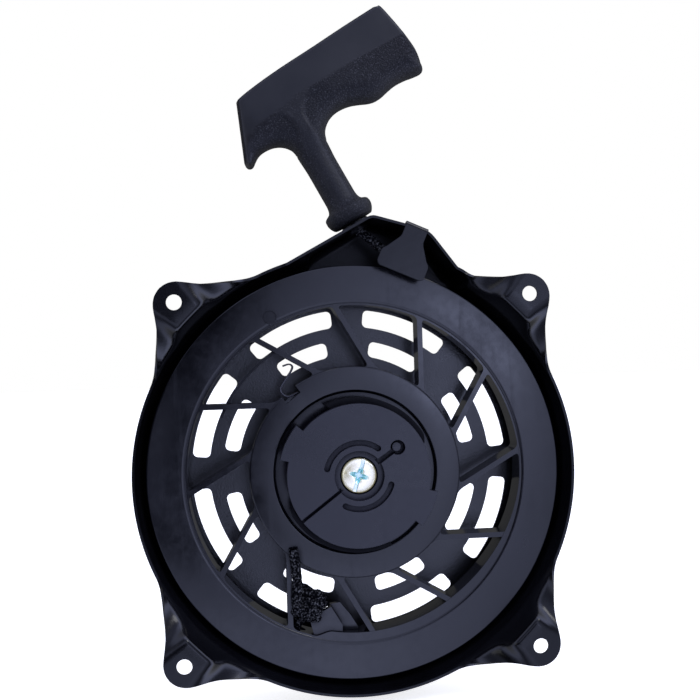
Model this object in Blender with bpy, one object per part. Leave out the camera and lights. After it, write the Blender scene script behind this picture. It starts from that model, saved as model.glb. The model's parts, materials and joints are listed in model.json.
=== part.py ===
"""Recoil starter for a small engine.

Every piece is drawn about the pulley axis, which is the Y axis. The open side, which
bolts to the engine, faces -Y, and the faces of the four mounting ears lie in the
plane Y = 0. The housing reaches back to its closed end at +Y, and the pull grip
stands up along +Z. The finished part is then moved as a whole, so that the origin is
the middle of its depth and width at its lowest point. Lengths below are millimetres
and angles are degrees, counted from +X towards +Z about the pulley axis; meshes are
made in metres.
"""

import math

import bpy
import bmesh
from mathutils import Vector

MM = 0.001
GAP = 0.3                       # clearance kept between neighbouring pieces

# Housing: a pressed steel pan with four ears and a rope spout
SHEET = 1.2                     # steel thickness
BOLT_SQUARE = 156.0             # side of the square of mounting holes
BOLT_HOLE_RADIUS = 3.4
BOLT_CIRCLE_RADIUS = BOLT_SQUARE / math.sqrt(2)
LIP_RADIUS = 99.2               # outside of the pan at its open edge
LIP_DEPTH = 11.0                # the edge sits this far behind the ear faces
PAN_DEPTH = 41.7                # ear faces to the outside of the closed end
MIDDLE_DEPTH = 21.7             # ear faces to the middle of the part's whole depth
POST_HOLE_RADIUS = 5.0
VENT_COUNT = 8
VENT_START_ANGLE = 22.5
VENT_ROWS = ((66.6, 74.8, 16.5), (53.0, 60.3, 12.5))   # inner, outer radius, half angle
VENT_CORNER = 1.6
EYELET_HOLE_RADIUS = 5.2

# Rope spout: three flat sides that stand proud of the round pan
PULL_ANGLE = 118.5              # direction of the rope as it leaves the spout
EYELET_FACE = 97.2              # axis to the face that holds the eyelet
SPOUT_TOP_ANGLE = 74.1
SPOUT_TOP_FACE = 114.1
SPOUT_SIDE_ANGLE = 30.8
SPOUT_SIDE_FACE = 85.9
SPOUT_START = 58.0
SPOUT_END = 107.0

# Rope guard: a tab bent from the spout's edge over the pulley's rim
TAB_ANGLE = 66.5
TAB_CENTRE = -16.0
TAB_NECK_HALF = 5.3
TAB_BODY_HALF = 11.5
TAB_END = 90.4
TAB_SHOULDER = 98.0
TAB_NECK_START = 104.6
TAB_ROOT = 112.6
TAB_FRONT = 9.8

# Pulley
PULLEY_FRONT = 19.4
RIM_RADIUS = 94.0
RIM_INNER = 76.0
GROOVE_ROOT = 79.8
GROOVE_FRONT = 21.3
GROOVE_BACK = 31.8
RIM_BACK = 33.4
RIM_STEP = 3.5                  # the rim's inner edge steps in beside the rope hole
RIM_STEP_START = 253.5
HUB_RADIUS = 48.0
CHAMBER_RADIUS = 45.0
HUB_BACK = 37.6
CUP_RADIUS = 36.9
CUP_FLOOR = 21.5
WEB_BACK = 23.5
HUB_TUBE_RADIUS = 12.0
HUB_TUBE_FRONT = 16.2
HUB_TUBE_BACK = 25.2
PULLEY_BORE = 8.0
SPOKE_COUNT = 12
SPOKE_WIDTH = 2.4
SPOKE_OUTER_ANGLE = 5.5
SPOKE_LEAN = 16.5
SPOKE_FRONT = 19.9
SPOKE_BACK = 32.5
KNOT_ANGLE = 249.0
SPRING_NOTCH_ANGLE = 127.5

# Centre post, screw and friction drive
POST_RADIUS = 7.7
ARBOR_RADIUS = 9.0
ARBOR_FRONT = 26.3
POST_NECK_RADIUS = 5.0
POST_NECK_FRONT = 7.5
THREAD_RADIUS = 2.9
SCREW_HEAD_RADIUS = 7.8
SCREW_HEAD_FRONT = 4.6
SCREW_HEAD_BACK = 7.2
PLATE_FRONT = 3.0
PLATE_BACK = 7.2
PLATE_RADIUS = 31.8
PLATE_LOBE_RADIUS = 35.6
PLATE_LOBE_CENTRE = 153.0
PLATE_LOBE_HALF = 13.5
PLATE_RECESS_RADIUS = 10.9
PLATE_RECESS_FLOOR = 5.4

# Pawls
PAWL_PIVOT_RADIUS = 28.5
PAWL_PIVOT_ANGLE = 30.0
PAWL_FRONT = 7.8
PAWL_BACK = 17.9
PAWL_BORE = 3.75
PAWL_POST_RADIUS = 3.4
PAWL_STUD_RADIUS = 1.5
PAWL_STUD_REACH = 11.0          # stud to pivot
PAWL_STUD_ANGLE = 118.0         # direction from pivot to stud at rest
PAWL_SWING = 14.0               # outward swing when the plate has turned PLATE_TURN
PLATE_TURN = 28.0

# Rope
ROPE_RADIUS = 2.2
ROPE_PLANE = 23.9               # depth of the run to the eyelet
ROPE_PLANE_BACK = 28.9
ROPE_LAYER_1 = 82.5
ROPE_LAYER_2 = 87.2
ROPE_EXIT_ANGLE = 50.0          # where the rope leaves the pulley
ROPE_TURNS_ANGLE = 1241.0       # from the rope hole to the exit, wound on the pulley

# Recoil spring
SPRING_THICKNESS = 0.7
SPRING_FRONT = 26.7
SPRING_BACK = 35.8
SPRING_OUTER = 44.25
SPRING_PITCH = 1.7
SPRING_TURNS = 5

# Grip, along its own axis from the eyelet face outwards
GRIP_OFFSET = 57.2              # pull axis to the pulley axis, across the pull
GRIP_HALF_DEPTH = 10.5
GRIP_STEM_RADIUS = 7.4
GRIP_SEAT = 1.7
GRIP_ROPE_BORE = 2.8
KNOT_POCKET_BOTTOM = 54.0
KNOT_POCKET_TOP = 68.0
KNOT_POCKET_HALF = 7.0

# Turning a local X/Z pair by this much about Y makes local +Z the pull direction
PULL_TILT = math.radians(90.0 - PULL_ANGLE)


# ---------------------------------------------------------------- mesh helpers

def polar(radius, degrees):
    """X and Z of a point given about the pulley axis."""
    angle = math.radians(degrees)
    return radius * math.cos(angle), radius * math.sin(angle)


def material(name, colour, roughness, metallic=0.0):
    made = bpy.data.materials.new(name)
    made.use_nodes = True
    shader = made.node_tree.nodes["Principled BSDF"]
    shader.inputs["Base Color"].default_value = (*colour, 1.0)
    shader.inputs["Roughness"].default_value = roughness
    shader.inputs["Metallic"].default_value = metallic
    return made


def make_object(name, verts, faces, mat=None, smooth_angle=35.0):
    """A mesh object from millimetre points, with its faces turned outwards."""
    mesh = bpy.data.meshes.new(name)
    mesh.from_pydata([Vector(v) * MM for v in verts], [], faces)
    bm = bmesh.new()
    bm.from_mesh(mesh)
    bmesh.ops.recalc_face_normals(bm, faces=bm.faces)
    bm.to_mesh(mesh)
    bm.free()
    mesh.shade_smooth()
    mesh.set_sharp_from_angle(angle=math.radians(smooth_angle))
    made = bpy.data.objects.new(name, mesh)
    bpy.context.scene.collection.objects.link(made)
    if mat:
        mesh.materials.append(mat)
    return made


def lathe(name, profile, segments, mat=None):
    """Turn a closed profile of (radius, depth) points about the Y axis."""
    verts = []
    rings = []
    for radius, depth in profile:
        count = segments if radius > 0.0 else 1
        rings.append(range(len(verts), len(verts) + count))
        for step in range(count):
            x, z = polar(radius, 360.0 * step / segments)
            verts.append((x, depth, z))
    faces = []
    for here, there in zip(rings, rings[1:] + rings[:1]):
        if len(here) == 1 and len(there) == 1:
            continue
        for step in range(segments):
            after = (step + 1) % segments
            corners = [here[step % len(here)], here[after % len(here)],
                       there[after % len(there)], there[step % len(there)]]
            faces.append(list(dict.fromkeys(corners)))
    return make_object(name, verts, faces, mat)


def prism(name, outline, front, back, mat=None):
    """A flat outline of (x, z) points, given thickness from front to back in Y."""
    count = len(outline)
    verts = [(x, front, z) for x, z in outline] + [(x, back, z) for x, z in outline]
    faces = [list(range(count)), list(range(count, 2 * count))]
    for step in range(count):
        after = (step + 1) % count
        faces.append([step, after, count + after, count + step])
    return make_object(name, verts, faces, mat)


def sweep(name, path, section, mat=None):
    """Carry a closed section of (side, up) points along a path, with capped ends."""
    points = [Vector(p) for p in path]
    up = Vector((0.0, 1.0, 0.0))
    verts = []
    for index, point in enumerate(points):
        before = points[max(index - 1, 0)]
        after = points[min(index + 1, len(points) - 1)]
        tangent = (after - before).normalized()
        side = tangent.cross(up).normalized()
        rise = side.cross(tangent)
        for across, along in section:
            verts.append(tuple(point + side * across + rise * along))
    count = len(section)
    faces = [list(range(count)), list(range(len(verts) - count, len(verts)))]
    for ring in range(len(points) - 1):
        base = ring * count
        for step in range(count):
            after = (step + 1) % count
            faces.append([base + step, base + after,
                          base + count + after, base + count + step])
    return make_object(name, verts, faces, mat)


def round_section(radius, sides):
    return [polar(radius, 360.0 * (step + 0.5) / sides) for step in range(sides)]


def flat_section(thickness, width):
    half, reach = thickness / 2, width / 2
    return [(-half, -reach), (half, -reach), (half, reach), (-half, reach)]


def apply_boolean(target, tool, operation):
    """Add a Boolean that stays on the target, and hide the tool."""
    modifier = target.modifiers.new(tool.name, "BOOLEAN")
    modifier.operation = operation
    modifier.object = tool
    modifier.solver = "EXACT"
    tool.hide_render = True
    tool.display_type = "WIRE"


def cut(target, *tools):
    for tool in tools:
        apply_boolean(target, tool, "DIFFERENCE")


def join(target, *tools):
    for tool in tools:
        apply_boolean(target, tool, "UNION")


def cylinder(name, radius, front, back, centre=(0.0, 0.0), segments=24):
    """A plain round tool, parallel to the pulley axis."""
    outline = [(centre[0] + x, centre[1] + z)
               for x, z in (polar(radius, 360.0 * step / segments)
                            for step in range(segments))]
    return prism(name, outline, front, back)


def radial_cylinder(name, radius, angle, inner, outer, depth, segments=16):
    """A plain round tool that points away from the pulley axis."""
    start, end = polar(inner, angle), polar(outer, angle)
    path = [(start[0], depth, start[1]), (end[0], depth, end[1])]
    return sweep(name, path, round_section(radius, segments))


def merge_outlines(name, outlines, front, back):
    """Several separate prisms in one tool."""
    verts = []
    faces = []
    for outline in outlines:
        base = len(verts)
        count = len(outline)
        verts += [(x, front, z) for x, z in outline]
        verts += [(x, back, z) for x, z in outline]
        faces.append([base + step for step in range(count)])
        faces.append([base + count + step for step in range(count)])
        for step in range(count):
            after = (step + 1) % count
            faces.append([base + step, base + after,
                          base + count + after, base + count + step])
    return make_object(name, verts, faces)


def arc_slot(inner, outer, centre, half, corner):
    """Outline of a curved slot with rounded corners."""
    outline = []
    for radius, turn, start, end in ((outer, -1, -half, half), (inner, 1, half, -half)):
        ease = math.degrees(corner / radius)
        direction = 1 if end > start else -1
        outline.append(polar(radius + turn * corner, centre + start))
        first = start + direction * ease
        last = end - direction * ease
        steps = max(2, int(abs(last - first) / 7.0))
        for step in range(steps + 1):
            outline.append(polar(radius, centre + first + (last - first) * step / steps))
        outline.append(polar(radius + turn * corner, centre + end))
    return outline


def round_slot(inner, outer, start, end, steps=12):
    """Outline of a curved slot whose two ends are half circles."""
    middle, half = (inner + outer) / 2, (outer - inner) / 2
    outline = [polar(outer, start + (end - start) * step / steps)
               for step in range(steps + 1)]
    for centre, first in ((end, end), (start, start + 180.0)):
        cx, cz = polar(middle, centre)
        for turn in (45.0, 90.0, 135.0):
            x, z = polar(half, first + turn)
            outline.append((cx + x, cz + z))
        if centre == end:
            outline += [polar(inner, end - (end - start) * step / steps)
                        for step in range(steps + 1)]
    return outline


def smooth_step(value):
    value = min(max(value, 0.0), 1.0)
    return value * value * (3.0 - 2.0 * value)


def smooth_curve(points, steps):
    """Catmull-Rom curve through open control points."""
    padded = [points[0]] + list(points) + [points[-1]]
    curve = []
    for index in range(1, len(padded) - 2):
        before, start, end, after = (Vector(p) for p in padded[index - 1:index + 3])
        for step in range(steps):
            t = step / steps
            curve.append(tuple(0.5 * (2 * start + (end - before) * t
                                      + (2 * before - 5 * start + 4 * end - after) * t ** 2
                                      + (3 * start - before - 3 * end + after) * t ** 3)))
    curve.append(tuple(points[-1]))
    return curve


def empty(name, location, tilt=0.0):
    made = bpy.data.objects.new(name, None)
    made.location = Vector(location) * MM
    made.rotation_euler = (0.0, tilt, 0.0)
    bpy.context.scene.collection.objects.link(made)
    return made


def hang(child, parent):
    """Put a piece under an empty, with its mesh given in the empty's own frame."""
    child.parent = parent


def set_down():
    """Move the whole part so that its lowest point rests on Z = 0, its depth about Y = 0."""
    part_frame = empty("part_frame", (0.0, -MIDDLE_DEPTH, LIP_RADIUS))
    for obj in list(bpy.data.objects):
        if obj.parent is None and obj is not part_frame:
            hang(obj, part_frame)


def recentre(piece, x, z):
    """Move a piece's origin onto an axis parallel to Y without moving its shape."""
    shift = Vector((x, 0.0, z)) * MM
    for vertex in piece.data.vertices:
        vertex.co -= shift
    piece.location = shift


# ---------------------------------------------------------------- housing

def smooth_min(first, second, width=2.5):
    blend = min(max(0.5 + 0.5 * (second - first) / width, 0.0), 1.0)
    return second * (1 - blend) + first * blend - width * blend * (1 - blend)


def spout_radius(angle):
    """Edge of the rope spout: the nearest of its three flat sides."""
    def side(distance, normal):
        return distance / max(math.cos(math.radians(angle - normal)), 0.05)
    top = smooth_min(side(EYELET_FACE, PULL_ANGLE), side(SPOUT_TOP_FACE, SPOUT_TOP_ANGLE))
    return smooth_min(top, side(SPOUT_SIDE_FACE, SPOUT_SIDE_ANGLE))


# Half an ear, from its middle outwards: angle from the middle, then radius and depth
# of the edge, then radius and depth of the crease inside it.
EAR_STATIONS = (
    (0.0, 118.9, 0.0, 101.6, 0.0),
    (1.5, 118.5, 0.0, 101.6, 0.0),
    (3.0, 116.9, 0.0, 101.7, 0.0),
    (4.2, 114.4, 0.0, 101.8, 0.0),
    (5.1, 112.0, 0.0, 101.9, 0.0),
    (6.2, 109.2, 3.4, 101.3, 4.4),
    (8.2, 105.8, 6.6, 100.5, 8.4),
    (11.5, 103.2, 8.8, 99.8, 11.2),
    (15.0, 101.0, 10.3, 99.3, 13.2),
    (18.0, LIP_RADIUS, LIP_DEPTH, 98.9, 14.0),
)
EAR_CREASE_PINCH = 0.82         # the pad's inner edge is narrower than its outer edge


def housing_station(angle, edge, edge_depth, crease, crease_depth, crease_angle, draft):
    """Outside of the sheet along one radial cut, from its free edge to the closed end."""
    rise = 1.0 - crease_depth / 14.0
    rows = [(angle, edge, edge_depth + SHEET * (1.0 - edge_depth / LIP_DEPTH)),
            (crease_angle, crease, crease_depth + SHEET * rise),
            ((angle + crease_angle) / 2, crease - 0.7 * draft, 19.0 - 4.5 * rise),
            (angle, crease - 2.5 * draft, 36.4),
            (angle, crease - 1.4 - 2.4 * draft, 40.2),
            (angle, crease - 5.2 - 2.4 * draft, PAN_DEPTH)]
    points = []
    for row_angle, radius, depth in rows:
        x, z = polar(radius, row_angle)
        points.append((x, depth, z))
    return points


def ear_stations(middle, sides=(-1, 1)):
    stations = []
    for side in sides:
        for offset, edge, edge_depth, crease, crease_depth in EAR_STATIONS:
            if side < 0 and offset == 0.0 and 1 in sides:
                continue
            pinch = EAR_CREASE_PINCH if crease_depth == 0.0 else 1.0
            stations.append((middle + side * offset,
                             (edge, edge_depth, crease, crease_depth,
                              middle + side * offset * pinch, 1.0)))
    return stations


def spout_stations():
    angles = [60.0, 62.0, 64.0, 66.0, 68.0, 70.0, 71.2, 72.4, 74.0, 76.5, 79.0, 81.5,
              83.5, 84.6, 85.6, 86.8, 88.5, 91.5, 94.5, 97.5, 100.0, 102.5, 105.0]
    stations = []
    for angle in angles:
        flare = 103.2 if angle < 75.0 else LIP_RADIUS
        radius = max(spout_radius(angle), flare)
        draft = 1.0 - smooth_step((radius - 100.0) / 3.0)
        depth = LIP_DEPTH - 0.6 * smooth_step((64.0 - angle) / 6.0)
        stations.append((angle, (radius, depth, radius - 0.3 * draft, 14.0, angle, draft)))
    return stations


def plain_stations(start, end, count):
    stations = []
    for index in range(1, count):
        angle = (start + (end - start) * index / count) % 360.0
        stations.append((angle, (LIP_RADIUS, LIP_DEPTH, 98.9, 14.0, angle, 1.0)))
    return stations


def housing_stations():
    """All radial cuts of the housing, in order round the pulley axis."""
    stations = spout_stations()
    stations += [s for s in ear_stations(45.0) if s[0] < 57.0]
    for middle in (135.0, 225.0, 315.0):
        stations += ear_stations(middle)
    stations += plain_stations(SPOUT_END, 117.0, 2)
    for start, count in ((153.0, 11), (243.0, 12), (333.0, 13)):
        stations += plain_stations(start, start + 54.0, count)
    return sorted(stations)


def tab_point(across, out):
    x_across, z_across = polar(TAB_CENTRE + across, TAB_ANGLE - 90.0)
    x_out, z_out = polar(out, TAB_ANGLE)
    return x_across + x_out, z_across + z_out


def rope_guard():
    """The bent tab that keeps the rope on the pulley."""
    half_outline = [(TAB_NECK_HALF, TAB_ROOT),
                    (TAB_NECK_HALF, TAB_NECK_START + 1.0),
                    (TAB_NECK_HALF + 1.0, TAB_NECK_START - 0.6),
                    (TAB_BODY_HALF - 0.8, TAB_SHOULDER + 0.8),
                    (TAB_BODY_HALF, TAB_SHOULDER - 0.8),
                    (TAB_BODY_HALF, TAB_END + 1.8),
                    (TAB_BODY_HALF - 1.6, TAB_END)]
    outline = [tab_point(across, out) for across, out in half_outline]
    outline += [tab_point(-across, out) for across, out in reversed(half_outline)]
    return prism("rope_guard_tool", outline, TAB_FRONT, TAB_FRONT + SHEET)


def rope_guard_root():
    """The bend that joins the tab to the spout's edge."""
    corners = [(-TAB_NECK_HALF + 0.1, TAB_ROOT - 1.8), (TAB_NECK_HALF - 0.1, TAB_ROOT - 1.8),
               (TAB_NECK_HALF - 0.1, TAB_ROOT - 0.1), (-TAB_NECK_HALF + 0.1, TAB_ROOT - 0.1)]
    outline = [tab_point(across, out) for across, out in corners]
    return prism("rope_guard_root_tool", outline, TAB_FRONT + 0.1, LIP_DEPTH + 2.0)


def pull_point(across, out):
    """X and Z of a point given across and along the pull direction."""
    x_across, z_across = polar(across, PULL_ANGLE - 90.0)
    x_out, z_out = polar(out, PULL_ANGLE)
    return x_across + x_out, z_across + z_out


def eyelet_hole():
    start = pull_point(GRIP_OFFSET, EYELET_FACE - 4.0)
    end = pull_point(GRIP_OFFSET, EYELET_FACE + 4.0)
    path = [(start[0], ROPE_PLANE, start[1]), (end[0], ROPE_PLANE, end[1])]
    return sweep("eyelet_hole_tool", path, round_section(EYELET_HOLE_RADIUS, 20))


def build_housing(mat):
    stations = housing_stations()
    rows = len(housing_station(0.0, *stations[0][1]))
    verts = []
    for angle, data in stations:
        verts += housing_station(angle, *data)
    faces = []
    for index in range(len(stations)):
        here = index * rows
        there = (index + 1) % len(stations) * rows
        for row in range(rows - 1):
            faces.append([here + row, there + row, there + row + 1, here + row + 1])
    faces.append([index * rows + rows - 1 for index in range(len(stations))])
    housing = make_object("housing", verts, faces, mat)
    wall = housing.modifiers.new("sheet", "SOLIDIFY")
    wall.thickness = SHEET * MM
    wall.offset = -1.0
    wall.use_even_offset = True
    vents = []
    for inner, outer, half in VENT_ROWS:
        for index in range(VENT_COUNT):
            centre = VENT_START_ANGLE + 360.0 * index / VENT_COUNT
            vents.append(arc_slot(inner, outer, centre, half, VENT_CORNER))
    join(housing, rope_guard(), rope_guard_root())
    cut(housing, merge_outlines("vent_tool", vents, PAN_DEPTH - 4.0, PAN_DEPTH + 3.0),
        cylinder("post_hole_tool", POST_HOLE_RADIUS, PAN_DEPTH - 4.0, PAN_DEPTH + 3.0),
        eyelet_hole())
    holes = []
    for index in range(4):
        x, z = polar(BOLT_CIRCLE_RADIUS, 45.0 + 90.0 * index)
        holes.append([(x + dx, z + dz) for dx, dz in
                      (polar(BOLT_HOLE_RADIUS, 15.0 * step) for step in range(24))])
    cut(housing, merge_outlines("bolt_hole_tool", holes, -3.0, 5.0))
    return housing


def build_eyelet(mat, seat):
    """Ferrule in the spout: a barrel through the sheet and a flange on each side."""
    inside = -SHEET - 2 * GAP
    profile = [(3.6, inside - 1.4), (2.9, inside - 0.6), (2.9, 0.6), (3.6, 1.3), (6.2, 1.3),
               (6.6, 0.9), (6.6, GAP), (4.8, GAP), (4.8, inside), (5.6, inside),
               (5.6, inside - 1.4)]
    piece = lathe("rope_eyelet", [(r, w) for r, w in profile], 24, mat)
    turn_to_pull(piece)
    hang(piece, seat)
    return piece


def turn_to_pull(piece):
    """Turn a shape made about the Y axis so that its axis is the local +Z axis."""
    for vertex in piece.data.vertices:
        x, y, z = vertex.co
        vertex.co = (x, -z, y)


# ---------------------------------------------------------------- centre post

def build_centre_post(mat):
    """Riveted post: head, shank, flange, spring arbor, journal and threaded neck."""
    head_front = PAN_DEPTH + GAP
    flange_back = PAN_DEPTH - SHEET - GAP
    profile = [(0.0, head_front + 1.6), (5.6, head_front + 1.5), (7.6, head_front + 0.5),
               (7.6, head_front), (POST_HOLE_RADIUS - GAP, head_front),
               (POST_HOLE_RADIUS - GAP, flange_back), (12.0, flange_back),
               (12.0, flange_back - 1.5), (ARBOR_RADIUS, flange_back - 1.5),
               (ARBOR_RADIUS, ARBOR_FRONT), (POST_RADIUS, ARBOR_FRONT),
               (POST_RADIUS, HUB_TUBE_FRONT + 0.6), (POST_NECK_RADIUS, HUB_TUBE_FRONT + 0.6),
               (POST_NECK_RADIUS, POST_NECK_FRONT), (THREAD_RADIUS, POST_NECK_FRONT),
               (THREAD_RADIUS, 22.0), (0.0, 23.5)]
    post = lathe("centre_post", profile, 32, mat)
    slot = prism("spring_slot_tool", [(5.2, -0.9), (ARBOR_RADIUS + 3.0, -0.9),
                                      (ARBOR_RADIUS + 3.0, 0.9), (5.2, 0.9)],
                 SPRING_FRONT - GAP, SPRING_BACK + GAP)
    cut(post, slot)
    return post


def build_centre_screw(mat):
    """Pan-head screw with a cross recess and a driving slot."""
    rim = 0.7
    profile = [(0.0, SCREW_HEAD_FRONT), (SCREW_HEAD_RADIUS - rim, SCREW_HEAD_FRONT),
               (SCREW_HEAD_RADIUS, SCREW_HEAD_FRONT + rim),
               (SCREW_HEAD_RADIUS, SCREW_HEAD_BACK), (THREAD_RADIUS - GAP, SCREW_HEAD_BACK),
               (THREAD_RADIUS - GAP, 20.0), (THREAD_RADIUS - GAP - 0.6, 20.8), (0.0, 20.8)]
    screw = lathe("centre_screw", profile, 32, mat)
    slot_angle = 72.0
    for name, half_length, half_width, angle, depth in (
            ("screw_slot_tool", SCREW_HEAD_RADIUS + 1.0, 0.85, slot_angle, 0.9),
            ("screw_cross_tool", 3.4, 0.7, slot_angle + 90.0, 1.5)):
        along = Vector(polar(half_length, angle))
        across = Vector(polar(half_width, angle + 90.0))
        outline = [along + across, along - across, -along - across, -along + across]
        cut(screw, prism(name, [tuple(p) for p in outline],
                         SCREW_HEAD_FRONT - 1.0, SCREW_HEAD_FRONT + depth))
    return screw


def build_thrust_washer(mat):
    profile = [(PULLEY_BORE, HUB_TUBE_BACK + GAP), (11.6, HUB_TUBE_BACK + GAP),
               (11.6, ARBOR_FRONT - GAP), (PULLEY_BORE, ARBOR_FRONT - GAP)]
    return lathe("thrust_washer", profile, 32, mat)


def build_friction_spring(mat, axis):
    """Coil that presses the friction plate against the screw's head."""
    radius, wire, turns, steps = 6.9, 0.75, 2.25, 18
    front, back = PLATE_BACK + 4.3, HUB_TUBE_FRONT - GAP - wire
    count = int(turns * steps)
    path = []
    for index in range(count + 1):
        x, z = polar(radius, 360.0 * index / steps)
        path.append((x, front + (back - front) * index / count, z))
    spring = sweep("friction_spring", path, round_section(wire, 6), mat)
    hang(spring, axis)
    return spring


# ---------------------------------------------------------------- friction plate

def plate_radius(angle):
    """Edge of the friction plate: two full lobes, and two sides cut back."""
    offset = (angle - PLATE_LOBE_CENTRE + 90.0) % 180.0 - 90.0
    if abs(offset) <= PLATE_LOBE_HALF:
        return PLATE_LOBE_RADIUS
    return PLATE_RADIUS


def plate_outline():
    outline = []
    angle = PLATE_LOBE_CENTRE - PLATE_LOBE_HALF
    for _ in range(2):
        for step in range(5):
            outline.append(polar(PLATE_LOBE_RADIUS, angle + PLATE_LOBE_HALF * step / 2))
        start = angle + 2 * PLATE_LOBE_HALF
        sweep_angle = 180.0 - 2 * PLATE_LOBE_HALF
        for step in range(19):
            outline.append(polar(plate_radius(start + 90.0), start + sweep_angle * step / 18))
        angle += 180.0
    return outline


def pawl_pivot(turn):
    return polar(PAWL_PIVOT_RADIUS, PAWL_PIVOT_ANGLE + turn)


def cam_groove(turn):
    """Path of a pawl's stud in the friction plate, widened to a slot outline.

    Seen from the pulley, the plate turns by PLATE_TURN while the pawl swings by
    PAWL_SWING the same way, so in the plate's frame the stud's point turns back.
    """
    pivot_x, pivot_z = pawl_pivot(0.0)
    path = []
    for step in range(-1, 10):
        share = step / 8
        reach_x, reach_z = polar(PAWL_STUD_REACH, PAWL_STUD_ANGLE - PAWL_SWING * share)
        x, z = pivot_x + reach_x, pivot_z + reach_z
        radius, angle = math.hypot(x, z), math.degrees(math.atan2(z, x))
        path.append(Vector(polar(radius, angle + PLATE_TURN * share + turn)))
    half = PAWL_STUD_RADIUS + 0.45
    left, right = [], []
    for index, point in enumerate(path):
        ahead = path[min(index + 1, len(path) - 1)] - path[max(index - 1, 0)]
        side = Vector((-ahead.y, ahead.x)).normalized() * half
        left.append(tuple(point + side))
        right.append(tuple(point - side))
    return left + right[::-1]


def build_friction_plate(mat, axis):
    plate = prism("friction_plate", plate_outline(), PLATE_FRONT, PLATE_BACK, mat)
    boss_inner = POST_NECK_RADIUS - 1.0
    boss = lathe("plate_boss_tool", [(boss_inner, PLATE_BACK - 1.0), (9.4, PLATE_BACK - 1.0),
                                     (9.4, PLATE_BACK + 3.2),
                                     (boss_inner, PLATE_BACK + 3.2)], 27)
    join(plate, boss)
    seat = SCREW_HEAD_RADIUS + GAP
    bore = POST_NECK_RADIUS + GAP
    cut(plate, lathe("plate_recess_tool", [
        (0.0, PLATE_FRONT - 1.0), (PLATE_RECESS_RADIUS, PLATE_FRONT - 1.0),
        (PLATE_RECESS_RADIUS, PLATE_RECESS_FLOOR), (seat, PLATE_RECESS_FLOOR),
        (seat, SCREW_HEAD_BACK + GAP), (bore, SCREW_HEAD_BACK + GAP),
        (bore, PLATE_BACK + 6.0), (0.0, PLATE_BACK + 6.0)], 32))
    key_angle, key_radius = 34.5, 21.0
    slit = 0.85
    keyhole = [polar(PLATE_RECESS_RADIUS - 1.0, key_angle - 5.0),
               polar(key_radius - 2.0, key_angle - math.degrees(slit / key_radius)),
               polar(key_radius - 2.0, key_angle + math.degrees(slit / key_radius)),
               polar(PLATE_RECESS_RADIUS - 1.0, key_angle + 5.0)]
    cut(plate, prism("keyhole_slit_tool", keyhole, PLATE_FRONT - 1.2, 4.9),
        cylinder("keyhole_round_tool", 3.0, PLATE_FRONT - 1.1, 4.8,
                 polar(key_radius, key_angle), 16))
    split_angle = 216.5
    along_near, along_far = (Vector(polar(r, split_angle)) for r in (10.0, PLATE_RADIUS + 2.0))
    across = Vector(polar(slit, split_angle + 90.0))
    split = [along_near + across, along_far + across, along_far - across,
             along_near - across]
    cut(plate, prism("split_tool", [tuple(p) for p in split], PLATE_FRONT - 1.3, 4.9))
    cut(plate, merge_outlines("arc_groove_tool",
                              [round_slot(13.2, 15.9, 54.0, 166.0),
                               round_slot(13.2, 15.9, 243.0, 343.0)],
                              PLATE_FRONT - 1.4, PLATE_FRONT + 1.2))
    cut(plate, merge_outlines("cam_groove_tool", [cam_groove(0.0), cam_groove(180.0)],
                              PLATE_BACK - 1.9, PLATE_BACK + 0.9))
    hang(plate, axis)
    return plate


# ---------------------------------------------------------------- pawls

def pawl_outline():
    """A curved arm from its rounded heel at the pivot to its square tip."""
    heel, tip = PAWL_PIVOT_ANGLE, 114.0
    outer, steps = 34.4, 12
    outline = [polar(outer, heel + (tip - heel) * step / steps) for step in range(steps + 1)]
    for step in range(steps + 1):
        share = 1.0 - step / steps
        inner = 23.4 + 6.0 * smooth_step(share * 1.6)
        outline.append(polar(inner, heel + (tip - 4.0 - heel) * share))
    pivot_x, pivot_z = pawl_pivot(0.0)
    for turn in (45.0, 90.0, 135.0):
        x, z = polar(5.5, heel + 180.0 + turn)
        outline.append((pivot_x + x, pivot_z + z))
    return outline


def build_pawl(name, turn, mat, axis):
    turned = [polar(math.hypot(x, z), math.degrees(math.atan2(z, x)) + turn)
              for x, z in pawl_outline()]
    pawl = prism(name, turned, PAWL_FRONT, PAWL_BACK, mat)
    pivot = pawl_pivot(turn)
    reach_x, reach_z = polar(PAWL_STUD_REACH, PAWL_STUD_ANGLE + turn)
    stud = cylinder(name + "_stud_tool", PAWL_STUD_RADIUS, PLATE_BACK - 1.5,
                    PAWL_FRONT + 2.0, (pivot[0] + reach_x, pivot[1] + reach_z), 12)
    bore = cylinder(name + "_bore_tool", PAWL_BORE, PAWL_FRONT - 2.0, PAWL_BACK + 2.0, pivot)
    for piece in (pawl, stud, bore):
        recentre(piece, *pivot)
        hang(piece, axis)
    join(pawl, stud)
    cut(pawl, bore)
    return pawl


# ---------------------------------------------------------------- pulley

def rim_profile():
    bevel = 2.0
    return [(RIM_INNER, PULLEY_FRONT + 1.6), (RIM_INNER + bevel, PULLEY_FRONT),
            (RIM_RADIUS - 0.8, PULLEY_FRONT), (RIM_RADIUS, PULLEY_FRONT + 0.6),
            (RIM_RADIUS, GROOVE_FRONT - 0.5), (GROOVE_ROOT, GROOVE_FRONT),
            (GROOVE_ROOT, GROOVE_BACK), (RIM_RADIUS - 0.8, GROOVE_BACK),
            (RIM_RADIUS - 0.8, RIM_BACK), (RIM_INNER, RIM_BACK)]


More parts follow.
